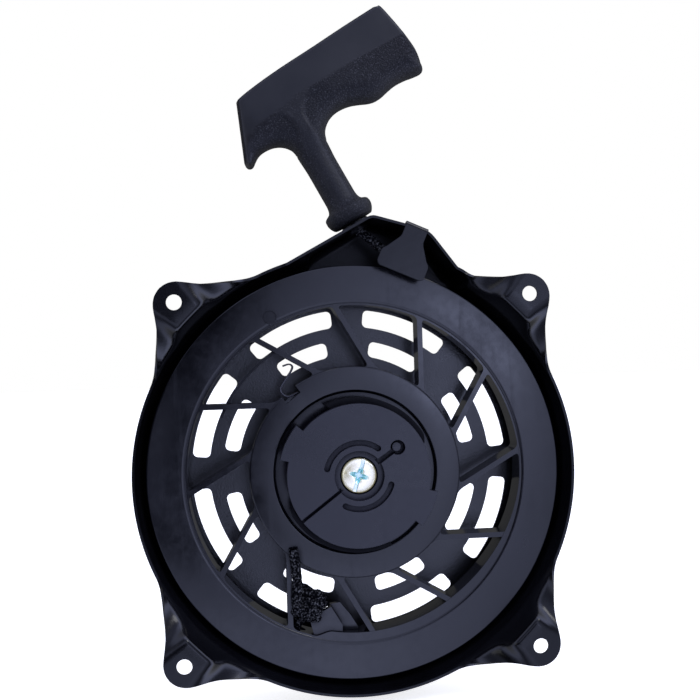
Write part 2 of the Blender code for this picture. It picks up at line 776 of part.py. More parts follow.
def hub_profile():
    edge = 0.6
    return [(PULLEY_BORE, HUB_TUBE_FRONT), (HUB_TUBE_RADIUS, HUB_TUBE_FRONT),
            (HUB_TUBE_RADIUS, CUP_FLOOR), (CUP_RADIUS, CUP_FLOOR),
            (CUP_RADIUS, PULLEY_FRONT + edge), (CUP_RADIUS + edge, PULLEY_FRONT),
            (HUB_RADIUS - edge, PULLEY_FRONT), (HUB_RADIUS, PULLEY_FRONT + edge),
            (HUB_RADIUS, HUB_BACK), (CHAMBER_RADIUS, HUB_BACK),
            (CHAMBER_RADIUS, WEB_BACK), (HUB_TUBE_RADIUS + 0.5, WEB_BACK),
            (HUB_TUBE_RADIUS + 0.5, HUB_TUBE_BACK), (PULLEY_BORE, HUB_TUBE_BACK)]


def spoke_outline(index):
    outer_angle = SPOKE_OUTER_ANGLE + 360.0 * index / SPOKE_COUNT
    start = Vector(polar(HUB_RADIUS - 1.5, outer_angle - SPOKE_LEAN))
    end = Vector(polar(RIM_INNER + 1.8, outer_angle))
    along = (end - start).normalized()
    across = Vector((-along.y, along.x)) * SPOKE_WIDTH / 2
    return [tuple(p) for p in (start + across, start - across, end - across, end + across)]


def rim_step_outline():
    """Inner edge of the rim beside the rope hole: in quickly, then slowly back."""
    inner = []
    outer = []
    end = 366.0
    for step in range(25):
        share = step / 24
        angle = RIM_STEP_START + (end - RIM_STEP_START) * share ** 1.5
        reach = RIM_STEP * smooth_step((angle - RIM_STEP_START) / 7.0)
        reach *= 1.0 - smooth_step((angle - 305.0) / (end - 305.0))
        inner.append(polar(RIM_INNER + 0.4 - reach, angle))
        outer.append(polar(RIM_INNER + 2.2, angle))
    return inner + outer[::-1]


def pawl_post(name, turn):
    x, z = pawl_pivot(turn)
    post = lathe(name, [(0.0, PLATE_BACK + 1.1), (PAWL_POST_RADIUS, PLATE_BACK + 1.1),
                        (PAWL_POST_RADIUS, PAWL_BACK + 0.6), (5.4, PAWL_BACK + 0.6),
                        (5.4, CUP_FLOOR + 1.0), (0.0, CUP_FLOOR + 1.0)], 20)
    for vertex in post.data.vertices:
        vertex.co += Vector((x, 0.0, z)) * MM
    return post


def build_pulley(mat, axis):
    pulley = lathe("pulley", rim_profile(), 72, mat)
    hub = lathe("hub_tool", hub_profile(), 48)
    spokes = merge_outlines("spoke_tool", [spoke_outline(i) for i in range(SPOKE_COUNT)],
                            SPOKE_FRONT, SPOKE_BACK)
    step = prism("rim_step_tool", rim_step_outline(), PULLEY_FRONT + 0.5, RIM_BACK - 0.3)
    gusset = prism("gusset_tool", [polar(RIM_INNER + 1.0, 253.4), polar(65.0, 258.0),
                                   polar(RIM_INNER + 1.0, 264.5)], 21.5, 24.5)
    join(pulley, hub, spokes, step, gusset, pawl_post("pawl_post_a_tool", 0.0),
         pawl_post("pawl_post_b_tool", 180.0))
    notch = [polar(44.1, SPRING_NOTCH_ANGLE - 4.6), polar(51.0, SPRING_NOTCH_ANGLE - 4.0),
             polar(51.0, SPRING_NOTCH_ANGLE + 5.0), polar(44.1, SPRING_NOTCH_ANGLE + 5.8)]
    cut(pulley, radial_cylinder("rope_hole_tool", ROPE_RADIUS + 0.5, KNOT_ANGLE,
                                RIM_INNER - 6.0, GROOVE_ROOT + 1.5, 26.4),
        prism("spring_notch_tool", notch, PULLEY_FRONT - 1.0, HUB_BACK + 1.0))
    hang(pulley, axis)
    return pulley


def build_spring_cover(mat, axis):
    """Thin disc that keeps the recoil spring in the hub."""
    profile = [(10.4, SPRING_BACK + 0.5), (CHAMBER_RADIUS - 0.4, SPRING_BACK + 0.5),
               (CHAMBER_RADIUS - 0.4, SPRING_BACK + 1.5), (10.4, SPRING_BACK + 1.5)]
    cover = lathe("spring_cover", profile, 48, mat)
    hang(cover, axis)
    return cover


def build_recoil_spring(mat, axis):
    """Flat spiral: inner end in the post's slot, outer end hooked over the hub wall."""
    hook_angle = SPRING_NOTCH_ANGLE + 1.0
    start_angle = hook_angle - 360.0 * SPRING_TURNS
    path = []
    inner_radius = SPRING_OUTER - SPRING_PITCH * SPRING_TURNS
    inner_turn = start_angle - start_angle % 360.0 - 360.0
    path += [polar(6.4, inner_turn), polar(9.2, inner_turn), polar(10.0, inner_turn + 6.0)]
    lead_steps = 22
    for step in range(1, lead_steps):
        share = step / lead_steps
        angle = inner_turn + (start_angle - inner_turn) * share
        radius = 10.2 + (inner_radius - 10.2) * smooth_step(share)
        path.append(polar(radius, angle + 8.0 * (1.0 - share)))
    wound_steps = 28 * SPRING_TURNS
    for step in range(wound_steps):
        share = step / wound_steps
        radius = inner_radius + (SPRING_OUTER - inner_radius) * share
        path.append(polar(radius, start_angle + (hook_angle - start_angle) * share))
    hook = [(45.6, 130.0), (47.9, 131.0), (50.6, 130.2), (52.0, 127.0), (53.6, 123.6),
            (55.6, 120.9), (57.6, 119.9), (58.9, 121.0), (59.6, 123.0)]
    path += [polar(radius, angle) for radius, angle in hook]
    middle = (SPRING_FRONT + SPRING_BACK) / 2
    spring = sweep("recoil_spring", [(x, middle, z) for x, z in path],
                   flat_section(SPRING_THICKNESS, SPRING_BACK - SPRING_FRONT), mat)
    hang(spring, axis)
    return spring


# ---------------------------------------------------------------- rope

def coil_point(turned):
    """Centre of the wound rope, by the angle turned since the rope hole.

    Two coils lie side by side on the groove's root and two more on top of them,
    with the moves between them kept clear of each other.
    """
    climb = smooth_step((turned - 615.0) / 45.0)
    back = smooth_step((turned - 300.0) / 35.0) - smooth_step((turned - 935.0) / 35.0)
    radius = ROPE_LAYER_1 + (ROPE_LAYER_2 - ROPE_LAYER_1) * climb
    depth = ROPE_PLANE + (ROPE_PLANE_BACK - ROPE_PLANE) * back
    x, z = polar(radius, KNOT_ANGLE + turned)
    return x, depth, z


def build_rope_coil(mat, axis):
    first, last = 3.2, ROPE_TURNS_ANGLE - 0.5
    count = int((last - first) / 10.0)
    path = [coil_point(first + (last - first) * step / count) for step in range(count + 1)]
    coil = sweep("rope_coil", path, round_section(ROPE_RADIUS, 6), mat)
    hang(coil, axis)
    return coil


def build_rope_lead(mat):
    """The taut run from the pulley through the eyelet."""
    start = polar(ROPE_LAYER_2, ROPE_EXIT_ANGLE)
    points = [start, pull_point(GRIP_OFFSET + 1.6, EYELET_FACE - 6.2),
              pull_point(GRIP_OFFSET + 0.35, EYELET_FACE - 4.4),
              pull_point(GRIP_OFFSET, EYELET_FACE - 2.6),
              pull_point(GRIP_OFFSET, EYELET_FACE + 1.3)]
    path = [(x, ROPE_PLANE, z) for x, z in points]
    return sweep("rope_lead", path, round_section(ROPE_RADIUS, 10), mat)


def build_rope_knot(mat, axis):
    """Stopper knot inside the rim, with its melted tail lying over the hub."""
    centre = Vector((-22.4, 24.6, -56.2))
    hole_end = polar(GROOVE_ROOT - 0.4, KNOT_ANGLE)
    tail = [(hole_end[0], 26.4, hole_end[1]), tuple(centre), (-25.8, 20.5, -48.5),
            (-28.0, 16.9, -41.5), (-29.2, 16.6, -34.6)]
    knot = sweep("rope_knot", tail, round_section(ROPE_RADIUS, 8), mat)
    ball = lathe("knot_ball_tool", [(0.0, -6.2), (3.9, -5.0), (6.2, -2.0), (6.2, 2.0),
                                    (3.9, 5.0), (0.0, 6.2)], 12)
    for vertex in ball.data.vertices:
        vertex.co = vertex.co + centre * MM
    join(knot, ball)
    hang(knot, axis)
    return knot


# ---------------------------------------------------------------- grip

def grip_outline():
    """Side view of the grip's bar: across and along the pull."""
    top = smooth_curve([(-19.4, 75.2), (2.0, 78.4), (28.0, 80.4), (56.5, 82.4)], 3)
    end = smooth_curve([(59.6, 81.4), (61.6, 71.0), (63.2, 60.0), (64.0, 49.6)], 3)
    finger_side = smooth_curve([(61.8, 45.8), (53.4, 46.9), (44.0, 46.2), (37.0, 44.9),
                                (29.5, 47.2), (20.5, 49.4), (13.2, 48.0), (8.6, 43.2)], 3)
    hook_side = smooth_curve([(-8.0, 43.2), (-11.6, 47.4), (-17.6, 49.4), (-23.2, 48.7),
                              (-27.0, 46.0)], 3)
    return top + end + finger_side + hook_side + [(-29.4, 45.8), (-30.8, 48.6)]


def build_grip(mat, seat):
    bar_outline = grip_outline()
    grip = prism("grip", bar_outline, -GRIP_HALF_DEPTH, GRIP_HALF_DEPTH, mat)
    edge = grip.modifiers.new("edge", "BEVEL")
    edge.width = 2.4 * MM
    edge.segments = 2
    edge.limit_method = "ANGLE"
    edge.angle_limit = math.radians(60.0)
    stem = lathe("grip_stem_tool", [(1.0, GRIP_SEAT), (9.4, GRIP_SEAT), (10.9, 3.4),
                                    (11.5, 6.6), (10.6, 9.2), (8.4, 11.2),
                                    (GRIP_STEM_RADIUS, 14.0), (GRIP_STEM_RADIUS, 50.0),
                                    (1.0, 52.0)], 24)
    turn_to_pull(stem)
    bore = lathe("grip_bore_tool", [(0.0, -2.0), (GRIP_ROPE_BORE, -2.0),
                                    (GRIP_ROPE_BORE, 58.0), (0.0, 58.0)], 13)
    turn_to_pull(bore)
    pocket = prism("knot_pocket_tool",
                   [(-KNOT_POCKET_HALF, KNOT_POCKET_BOTTOM),
                    (KNOT_POCKET_HALF, KNOT_POCKET_BOTTOM),
                    (KNOT_POCKET_HALF, KNOT_POCKET_TOP),
                    (-KNOT_POCKET_HALF, KNOT_POCKET_TOP)], -6.5, GRIP_HALF_DEPTH + 3.0)
    join(grip, stem)
    cut(grip, bore, pocket)
    for piece in (grip, stem, bore, pocket):
        hang(piece, seat)
    return grip


def build_grip_insert(mat, seat):
    """Seat plate under the knot, with a hole for the rope."""
    half, height = KNOT_POCKET_HALF - 0.5, 1.6
    bottom = KNOT_POCKET_BOTTOM + GAP
    insert = prism("grip_insert", [(-half, bottom), (half, bottom), (half, bottom + height),
                                   (-half, bottom + height)], -6.0, 6.0, mat)
    hole = lathe("insert_hole_tool", [(0.0, 50.0), (2.6, 50.0), (2.6, 60.0), (0.0, 60.0)], 16)
    turn_to_pull(hole)
    for piece in (insert, hole):
        hang(piece, seat)
    cut(insert, hole)
    return insert


def build_grip_rope(mat, seat):
    """The rope inside the grip's stem, and the knot that holds it."""
    top = KNOT_POCKET_BOTTOM + 2.1
    run = lathe("grip_rope", [(0.0, GRIP_SEAT), (ROPE_RADIUS, GRIP_SEAT), (ROPE_RADIUS, top),
                              (0.0, top)], 10, mat)
    knot_profile = [(0.0, top + GAP), (3.6, top + 1.0), (5.3, top + 3.6), (5.3, top + 6.6),
                    (3.6, top + 9.2), (0.0, top + 10.1)]
    knot = lathe("grip_knot", knot_profile, 12, mat)
    for piece in (run, knot):
        turn_to_pull(piece)
        hang(piece, seat)


# ---------------------------------------------------------------- assembly

def main():
    for obj in list(bpy.data.objects):
        bpy.data.objects.remove(obj, do_unlink=True)
    black_paint = material("black_paint", (0.012, 0.012, 0.014), 0.28)
    pulley_plastic = material("pulley_plastic", (0.030, 0.031, 0.042), 0.42)
    plate_plastic = material("plate_plastic", (0.032, 0.033, 0.046), 0.45)
    grip_plastic = material("grip_plastic", (0.025, 0.026, 0.030), 0.55)
    zinc_steel = material("zinc_steel", (0.72, 0.74, 0.77), 0.28, 1.0)
    plain_steel = material("plain_steel", (0.42, 0.42, 0.43), 0.38, 1.0)
    spring_steel = material("spring_steel", (0.10, 0.10, 0.11), 0.35, 1.0)
    braided_rope = material("braided_rope", (0.008, 0.008, 0.009), 0.80)

    pulley_axis = empty("pulley_axis", (0.0, 0.0, 0.0))
    seat_x, seat_z = pull_point(GRIP_OFFSET, EYELET_FACE)
    pull_seat = empty("pull_seat", (seat_x, ROPE_PLANE, seat_z), PULL_TILT)

    build_housing(black_paint)
    build_eyelet(black_paint, pull_seat)
    build_centre_post(plain_steel)
    build_centre_screw(zinc_steel)
    build_thrust_washer(plain_steel)
    build_rope_lead(braided_rope)

    build_pulley(pulley_plastic, pulley_axis)
    build_spring_cover(plain_steel, pulley_axis)
    build_recoil_spring(spring_steel, pulley_axis)
    build_rope_coil(braided_rope, pulley_axis)
    build_rope_knot(braided_rope, pulley_axis)

    build_friction_plate(plate_plastic, pulley_axis)
    build_friction_spring(spring_steel, pulley_axis)
    build_pawl("pawl_a", 0.0, plate_plastic, pulley_axis)
    build_pawl("pawl_b", 180.0, plate_plastic, pulley_axis)

    build_grip(grip_plastic, pull_seat)
    build_grip_insert(plain_steel, pull_seat)
    build_grip_rope(braided_rope, pull_seat)
    set_down()


main()
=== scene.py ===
import json
from math import atan2, cos, degrees, hypot, pi, radians, sin, sqrt

import bmesh
import bpy
import numpy as np
from mathutils import Euler, Matrix, Vector
from mathutils.geometry import delaunay_2d_cdt


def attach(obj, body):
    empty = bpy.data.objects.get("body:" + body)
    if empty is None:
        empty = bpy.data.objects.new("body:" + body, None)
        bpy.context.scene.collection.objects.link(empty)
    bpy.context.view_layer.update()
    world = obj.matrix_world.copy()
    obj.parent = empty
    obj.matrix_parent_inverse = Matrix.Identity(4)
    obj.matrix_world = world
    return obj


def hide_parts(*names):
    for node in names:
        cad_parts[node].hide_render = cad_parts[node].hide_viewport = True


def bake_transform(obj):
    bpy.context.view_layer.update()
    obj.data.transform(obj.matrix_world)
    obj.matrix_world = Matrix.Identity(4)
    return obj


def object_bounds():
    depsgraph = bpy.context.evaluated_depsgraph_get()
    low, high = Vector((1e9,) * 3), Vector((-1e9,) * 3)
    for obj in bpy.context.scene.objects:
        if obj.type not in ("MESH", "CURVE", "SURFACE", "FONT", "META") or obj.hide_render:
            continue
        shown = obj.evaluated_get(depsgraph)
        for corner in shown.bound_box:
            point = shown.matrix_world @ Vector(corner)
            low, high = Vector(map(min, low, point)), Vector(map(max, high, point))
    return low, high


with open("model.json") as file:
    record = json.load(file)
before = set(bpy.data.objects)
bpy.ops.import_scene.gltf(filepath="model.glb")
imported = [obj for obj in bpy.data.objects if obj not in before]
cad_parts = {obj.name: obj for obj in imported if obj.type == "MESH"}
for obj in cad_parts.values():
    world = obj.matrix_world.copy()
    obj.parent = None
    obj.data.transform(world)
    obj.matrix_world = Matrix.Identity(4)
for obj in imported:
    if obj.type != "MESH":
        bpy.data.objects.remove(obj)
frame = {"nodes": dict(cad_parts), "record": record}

# Lengths are millimetres and angles degrees about the pulley axis (the Y axis),
# counted from +X towards +Z. Meshes are made in metres.
MM = 0.001
DEPTH = Vector((0, 1, 0))
CAD_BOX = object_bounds()

# Pieces are drawn about the pulley axis with the ear faces in the plane Y = 0.
JOINTS = {joint["name"]: joint for joint in frame["record"]["behaviour"]["joints"]}
DATUM = Vector((0, frame["record"]["mounts"][0]["pos_m"][1], JOINTS["pulley_spin"]["pos_m"][2]))


# ---- helpers

def polar(radius, turn, centre=(0, 0)):
    """The point at a radius and an angle about a centre."""
    angle = radians(turn)
    return centre[0] + radius * cos(angle), centre[1] + radius * sin(angle)


def arc(radius, start, end, count, centre=(0, 0)):
    """Points evenly spaced from one angle to another, both ends included."""
    return [polar(radius, start + (end - start) * step / count, centre)
        for step in range(count + 1)]


def turned(point, turn):
    """A point turned about the pulley axis."""
    x, z = point
    return polar(hypot(x, z), degrees(atan2(z, x)) + turn)


def axis_point(direction, across, out):
    """The point `out` along a direction from the pulley axis and `across` to its right."""
    return polar(out, direction, polar(across, direction - 90))


def smooth_step(value):
    value = min(max(value, 0), 1)
    return value * value * (3 - 2 * value)


def curve_value(knots, at):
    """Smooth, monotone-safe reading of a list of (position, value) knots."""
    if at <= knots[0][0]:
        return knots[0][1]
    if at >= knots[-1][0]:
        return knots[-1][1]
    for index in range(len(knots) - 1):
        if knots[index][0] <= at <= knots[index + 1][0]:
            break
    x0, y0 = knots[index]
    x1, y1 = knots[index + 1]
    width = x1 - x0

    def slope(at_index):
        if at_index <= 0 or at_index >= len(knots) - 1:
            return 0
        (xa, ya), (xb, yb), (xc, yc) = knots[at_index - 1:at_index + 2]
        before, after = (yb - ya) / (xb - xa), (yc - yb) / (xc - xb)
        if before * after <= 0:
            return 0
        return 2 * before * after / (before + after)

    t = (at - x0) / width
    return ((2 * t ** 3 - 3 * t ** 2 + 1) * y0 + (t ** 3 - 2 * t ** 2 + t) * width * slope(index)
        + (3 * t ** 2 - 2 * t ** 3) * y1 + (t ** 3 - t ** 2) * width * slope(index + 1))


def add_object(name, data):
    made = bpy.data.objects.new(name, data)
    bpy.context.scene.collection.objects.link(made)
    return made


def make_piece(name, verts, faces, material=None, sharp=35):
    """A mesh piece from points in millimetres about the datum."""
    mesh = bpy.data.meshes.new(name)
    mesh.from_pydata([tuple(c * MM for c in v) for v in verts], [], faces)
    bm = bmesh.new()
    bm.from_mesh(mesh)
    bmesh.ops.recalc_face_normals(bm, faces=bm.faces)
    bm.to_mesh(mesh)
    bm.free()
    piece = add_object(name, mesh)
    piece.location = DATUM
    if material:
        mesh.materials.append(material)
    finish_shading(piece, sharp)
    return piece


def finish_shading(piece, sharp):
    piece.data.shade_smooth()
    piece.data.set_sharp_from_angle(angle=radians(sharp))


def bake(piece):
    """Apply the modifiers."""
    bpy.context.view_layer.update()
    graph = bpy.context.evaluated_depsgraph_get()
    mesh = bpy.data.meshes.new_from_object(piece.evaluated_get(graph))
    piece.modifiers.clear()
    piece.data = mesh


def flatten_shading(piece, sharp):
    """Shade large faces flat, so that only the rounded edges turn the light."""
    finish_shading(piece, sharp)
    modifier = piece.modifiers.new("normals", "WEIGHTED_NORMAL")
    modifier.weight = 100
    modifier.keep_sharp = True
    bake(piece)


def boolean(piece, operation, *tools):
    for tool in tools:
        modifier = piece.modifiers.new(tool.name, "BOOLEAN")
        modifier.operation = operation
        modifier.object = tool
        modifier.solver = "EXACT"
        bake(piece)
        bpy.data.objects.remove(tool, do_unlink=True)


def cut(piece, *tools):
    boolean(piece, "DIFFERENCE", *tools)


def join(piece, *tools):
    boolean(piece, "UNION", *tools)


def soften(piece, width, segments=2, angle=35, sharp=35, clamp=False):
    """Round the outer edges of a piece, first clearing away slivers the cuts left."""
    work = bmesh.new()
    work.from_mesh(piece.data)
    bmesh.ops.remove_doubles(work, verts=work.verts, dist=0.04 * MM)
    bmesh.ops.dissolve_degenerate(work, edges=work.edges, dist=0.02 * MM)
    weight = work.edges.layers.float.new("bevel_weight_edge")
    for edge in work.edges:
        convex = edge.calc_face_angle_signed(0) > radians(angle)
        edge[weight] = 1 if convex else 0
    work.to_mesh(piece.data)
    work.free()
    modifier = piece.modifiers.new("edge", "BEVEL")
    modifier.width = width * MM
    modifier.segments = segments
    modifier.limit_method = "WEIGHT"
    modifier.use_clamp_overlap = clamp
    bake(piece)
    flatten_shading(piece, sharp)


def lathe(name, profile, segments, material=None, sharp=35, centre=(0, 0)):
    """Turn a closed profile of (radius, depth) about an axis parallel to Y."""
    verts, rings = [], []
    for radius, depth in profile:
        count = segments if radius > 0 else 1
        rings.append(range(len(verts), len(verts) + count))
        for step in range(count):
            x, z = polar(radius, 360 * step / segments, centre)
            verts.append((x, depth, z))
    faces = []
    for here, there in zip(rings, rings[1:] + rings[:1]):
        if len(here) == 1 and len(there) == 1:
            continue
        for step in range(segments):
            after = (step + 1) % segments
            corners = [here[step % len(here)], here[after % len(here)], there[after % len(there)],
                there[step % len(there)]]
            faces.append(list(dict.fromkeys(corners)))
    return make_piece(name, verts, faces, material, sharp)


def shell_piece(name, shells, *finish):
    """Closed shells, each through rings of points and capped at both ends."""
    verts, faces = [], []
    for rings in shells:
        base, count = len(verts), len(rings[0])
        verts += [point for ring in rings for point in ring]
        last = len(verts) - count
        faces += [list(range(base, base + count)), list(range(last, len(verts)))]
        for first in range(base, last, count):
            for step in range(count):
                after = (step + 1) % count
                ahead = first + count
                faces.append([first + step, first + after, ahead + after, ahead + step])
    return make_piece(name, verts, faces, *finish)


def prism(name, outlines, front, back, *finish):
    """Flat outlines of (x, z) points given thickness in Y."""
    if isinstance(outlines[0][0], (int, float)):
        outlines = [outlines]
    return shell_piece(name, [[[(x, depth, z) for x, z in outline] for depth in (front, back)]
        for outline in outlines], *finish)


def drill(outlines, front, back):
    """A prism that cuts a piece or is joined to it."""
    return prism("tool", outlines, front, back)


def disc_outline(centre, radius, segments=48):
    return [polar(radius, 360 * step / segments, centre) for step in range(segments)]


def path_frames(points):
    """Tangent and two cross directions along a path, without twist."""
    points = [Vector(p) for p in points]
    frames = []
    normal = None
    for index, point in enumerate(points):
        tangent = points[min(index + 1, len(points) - 1)] - points[max(index - 1, 0)]
        tangent.normalize()
        if normal is None:
            guide = DEPTH if abs(tangent.dot(DEPTH)) <= 0.9 else Vector((1, 0, 0))
            normal = tangent.cross(guide).normalized()
        normal = (normal - tangent * normal.dot(tangent)).normalized()
        frames.append((point, tangent, normal, tangent.cross(normal)))
    return frames


def tube(frames, section):
    """Rings of a section swept along path frames."""
    return [[point + side * a + rise * b for a, b in section] for point, _, side, rise in frames]


def sweep(name, points, section, *finish, level=False):
    """Sweep a section along a path; a level one keeps its second side parallel to Y."""
    frames = path_frames(points)
    if level:
        sides = [tangent.cross(DEPTH).normalized() for _, tangent, *_ in frames]
        frames = [(p, t, side, side.cross(t)) for side, (p, t, *_) in zip(sides, frames)]
    return shell_piece(name, [tube(frames, section)], *finish)


def round_section(wide, sides, thick=None):
    """A round section, or an oval one if its second half width is given."""
    turns = (2 * pi * step / sides for step in range(sides))
    return [(wide * cos(a), (thick or wide) * sin(a)) for a in turns]


def smooth_path(points, spacing):
    """Catmull-Rom curve through control points, sampled evenly."""
    padded = [points[0]] + list(points) + [points[-1]]
    dense = []
    for index in range(1, len(padded) - 2):
        a, b, c, d = (Vector(p) for p in padded[index - 1:index + 3])
        for step in range(24):
            t = step / 24
            dense.append(0.5 * (2 * b + (c - a) * t + (2 * a - 5 * b + 4 * c - d) * t ** 2
                + (3 * b - a - 3 * c + d) * t ** 3))
    dense.append(Vector(points[-1]))
    lengths = [0]
    for before, after in zip(dense, dense[1:]):
        lengths.append(lengths[-1] + (after - before).length)
    count = max(2, int(lengths[-1] / spacing))
    result, at = [], 0
    for step in range(count + 1):
        target = lengths[-1] * step / count
        while at < len(dense) - 2 and lengths[at + 1] < target:
            at += 1
        share = (target - lengths[at]) / max(lengths[at + 1] - lengths[at], 1e-9)
        result.append(dense[at].lerp(dense[at + 1], share))
    return result


def smooth_outline(points, spacing):
    return [(p.x, p.y) for p in smooth_path([(*p, 0) for p in points], spacing)]


BRAID_STRANDS = 8
BRAID_PITCH = 11


def braid(name, points, radius, material=None, spacing=0.55):
    """A braided cord: two opposite sets of strands that pass over and under."""
    frames = path_frames(smooth_path(points, spacing))
    step = (frames[1][0] - frames[0][0]).length
    shells = [tube(frames, round_section(radius * 0.72, 10))]
    wide, thick = radius * 0.3, radius * 0.15
    middle, swing = radius - thick * 1.6, thick * 0.75
    for direction in (1, -1):
        lean = 2 * pi * middle / BRAID_PITCH * direction
        for strand in range(BRAID_STRANDS):
            strand_frames = []
            for index, (point, tangent, side, rise) in enumerate(frames):
                turn = 2 * pi * index * step / BRAID_PITCH
                angle = direction * turn + 2 * pi * strand / BRAID_STRANDS
                out = side * cos(angle) + rise * sin(angle)
                around = rise * cos(angle) - side * sin(angle)
                reach = middle + direction * swing * cos(BRAID_STRANDS * turn)
                along = (tangent + around * lean).normalized()
                strand_frames.append((point + out * reach, along, along.cross(out), out))
            shells.append(tube(strand_frames, round_section(wide, 6, thick)))
    return shell_piece(name, shells, material, 80)


# ---- materials

class Graph:
    """A small builder for node trees."""

    def __init__(self, tree):
        self.tree = tree

    def node(self, kind, inputs=(), **settings):
        """A node with its properties set and its inputs fed."""
        made = self.tree.nodes.new("ShaderNode" + kind)
        for key, value in settings.items():
            setattr(made, key, value)
        for key, value in dict(inputs).items():
            self.feed(made.inputs[key], value)
        return made

    def feed(self, socket, value):
        """Give a socket a number, a colour, or another node's output."""
        if isinstance(value, bpy.types.NodeSocket):
            self.tree.links.new(value, socket)
        elif socket.type == "RGBA":
            socket.default_value = (*value, 1)
        else:
            socket.default_value = value

    def maths(self, operation, first, second):
        return self.node("Math", {0: first, 1: second}, operation=operation).outputs[0]

    def plus(self, first, second):
        return self.maths("ADD", first, second)

    def times(self, first, second):
        return self.maths("MULTIPLY", first, second)

    def spread(self, source, low, high, out_low=0, out_high=1, **settings):
        """Map a value from one range to another, clamped."""
        ranges = {"Value": source, "From Min": low, "From Max": high, "To Min": out_low,
            "To Max": out_high}
        return self.node("MapRange", ranges, **settings).outputs[0]

    def mix(self, factor, first, second):
        """Mix two colours by a value."""
        inputs = {"Factor": factor, 6: first, 7: second}
        return self.node("Mix", inputs, data_type="RGBA").outputs[2]


class Shader(Graph):
    """A procedural material, laid out in object millimetres."""

    def __init__(self, name, colour, roughness, metallic=0):
        self.material = bpy.data.materials.new(name)
        self.material.use_nodes = True
        super().__init__(self.material.node_tree)
        self.bsdf = self.tree.nodes["Principled BSDF"]
        self.set("Base Color", colour)
        self.set("Roughness", roughness)
        self.set("Metallic", metallic)
        place = self.node("TexCoord").outputs["Object"]
        self.place = self.node("VectorMath", {0: place, "Scale": 1 / MM},
            operation="SCALE").outputs[0]
        self.last_bump = None

    def set(self, socket, value):
        self.feed(self.bsdf.inputs[socket], value)

    def noise(self, size, detail=2, stretch=None, rough=0.5):
        """Noise whose features are about `size` millimetres across."""
        source = self.place
        if stretch:
            scale, turn = stretch
            source = self.node("Mapping", {"Scale": scale, "Rotation": tuple(radians(a)
                for a in turn), "Vector": source}).outputs[0]
        return self.node("TexNoise", {"Scale": 1 / size, "Detail": detail, "Roughness": rough,
            "Vector": source}).outputs[0]

    def mottled(self, size, dark, light, low, high):
        """A colour and a number that drift together over about `size` millimetres."""
        broad = self.noise(size, 3)
        return (self.mix(self.spread(broad, 0.35, 0.65), dark, light),
            self.spread(broad, 0.3, 0.7, low, high))

    def bump(self, height, depth, strength=1):
        """Add relief `depth` millimetres deep."""
        inputs = {"Strength": strength, "Distance": depth * MM, "Height": height}
        if self.last_bump:
            inputs["Normal"] = self.last_bump
        self.last_bump = self.node("Bump", inputs).outputs[0]
        self.set("Normal", self.last_bump)

    def crevice(self, reach):
        """An ambient-occlusion reading, 1 on open faces, falling towards 0 in creases narrower
        than `reach` millimetres; the materials paint shade and light with it.
        """
        made = self.node("AmbientOcclusion", {"Distance": reach * MM}, samples=4)
        return self.spread(made.outputs["AO"], 0.35, 0.95)

    def attribute(self, name):
        return self.node("Attribute", attribute_name=name).outputs["Fac"]


def plastic(name, dark, light, rough, gloss=0.55):
    """Moulded plastic: faint flow marks, fine grain, scuffs that catch the light, and painted
    shade that dims the gloss in creases.
    """
    shader = Shader(name, dark, rough)
    colour, base = shader.mottled(26, dark, light, rough - 0.04, rough + 0.05)
    shader.set("Base Color", colour)
    scuffs = shader.spread(shader.noise(5, 4, ((1, 1, 0.05), (0, 12, 0))), 0.6, 0.72, 0, 0.06)
    fine = shader.spread(shader.noise(3, 4), 0.4, 0.7, -0.02, 0.03)
    shader.set("Roughness", shader.plus(shader.plus(base, scuffs), fine))
    # Painted shade: the gloss is turned down in creases and narrow gaps by ambient occlusion.
    shader.set("Specular IOR Level", shader.times(shader.crevice(3), gloss))
    shader.bump(shader.noise(16), 0.1, 0.25)
    shader.bump(shader.noise(0.35), 0.004, 0.5)
    return shader.material


def enamel():
    """Black enamel over pressed steel: glossy, gently wavy, with orange peel and a little dust.

    It is rougher inside the bowl's floor, and has painted shade in the bowl's corner, which sees
    no light.
    """
    shader = Shader("visual_black_enamel", (0.003, 0.003, 0.004), 0.22)
    paint, rough = shader.mottled(30, (0.0022, 0.0022, 0.003), (0.0045, 0.0045, 0.006), 0.17, 0.27)
    dust = shader.spread(shader.noise(1.1, 5, rough=0.7), 0.68, 0.84, 0, 0.3)
    shader.set("Base Color", shader.mix(dust, paint, (0.035, 0.035, 0.04)))
    x, y, z = shader.node("SeparateXYZ", {0: shader.place}).outputs
    floor = shader.spread(y, 38, 40)
    rough = shader.plus(rough, shader.times(floor, 0.1))
    shader.set("Roughness", shader.plus(rough, shader.times(dust, 0.4)))
    flat = shader.node("CombineXYZ", {"X": x, "Y": z}).outputs[0]
    radius = shader.node("VectorMath", {0: flat}, operation="LENGTH").outputs["Value"]
    # Painted shade: gloss and coat fall away in the corner of the bowl's wall.
    corner = shader.times(shader.spread(radius, 79, 83), shader.spread(y, 12, 20))
    level = shader.spread(floor, 0, 1, 0.3, 0.7)
    shader.set("Specular IOR Level", shader.times(level, shader.spread(corner, 0, 1, 1, 0.3)))
    shader.set("Coat Weight", shader.spread(corner, 0, 1, 0.1, 0))
    shader.set("Coat Roughness", 0.1)
    shader.bump(shader.noise(9), 0.12, 0.6)
    peel = shader.spread(floor, 0, 1, 0.25, 1)
    shader.bump(shader.times(shader.noise(0.8, 3), peel), 0.1, 0.9)
    return shader.material


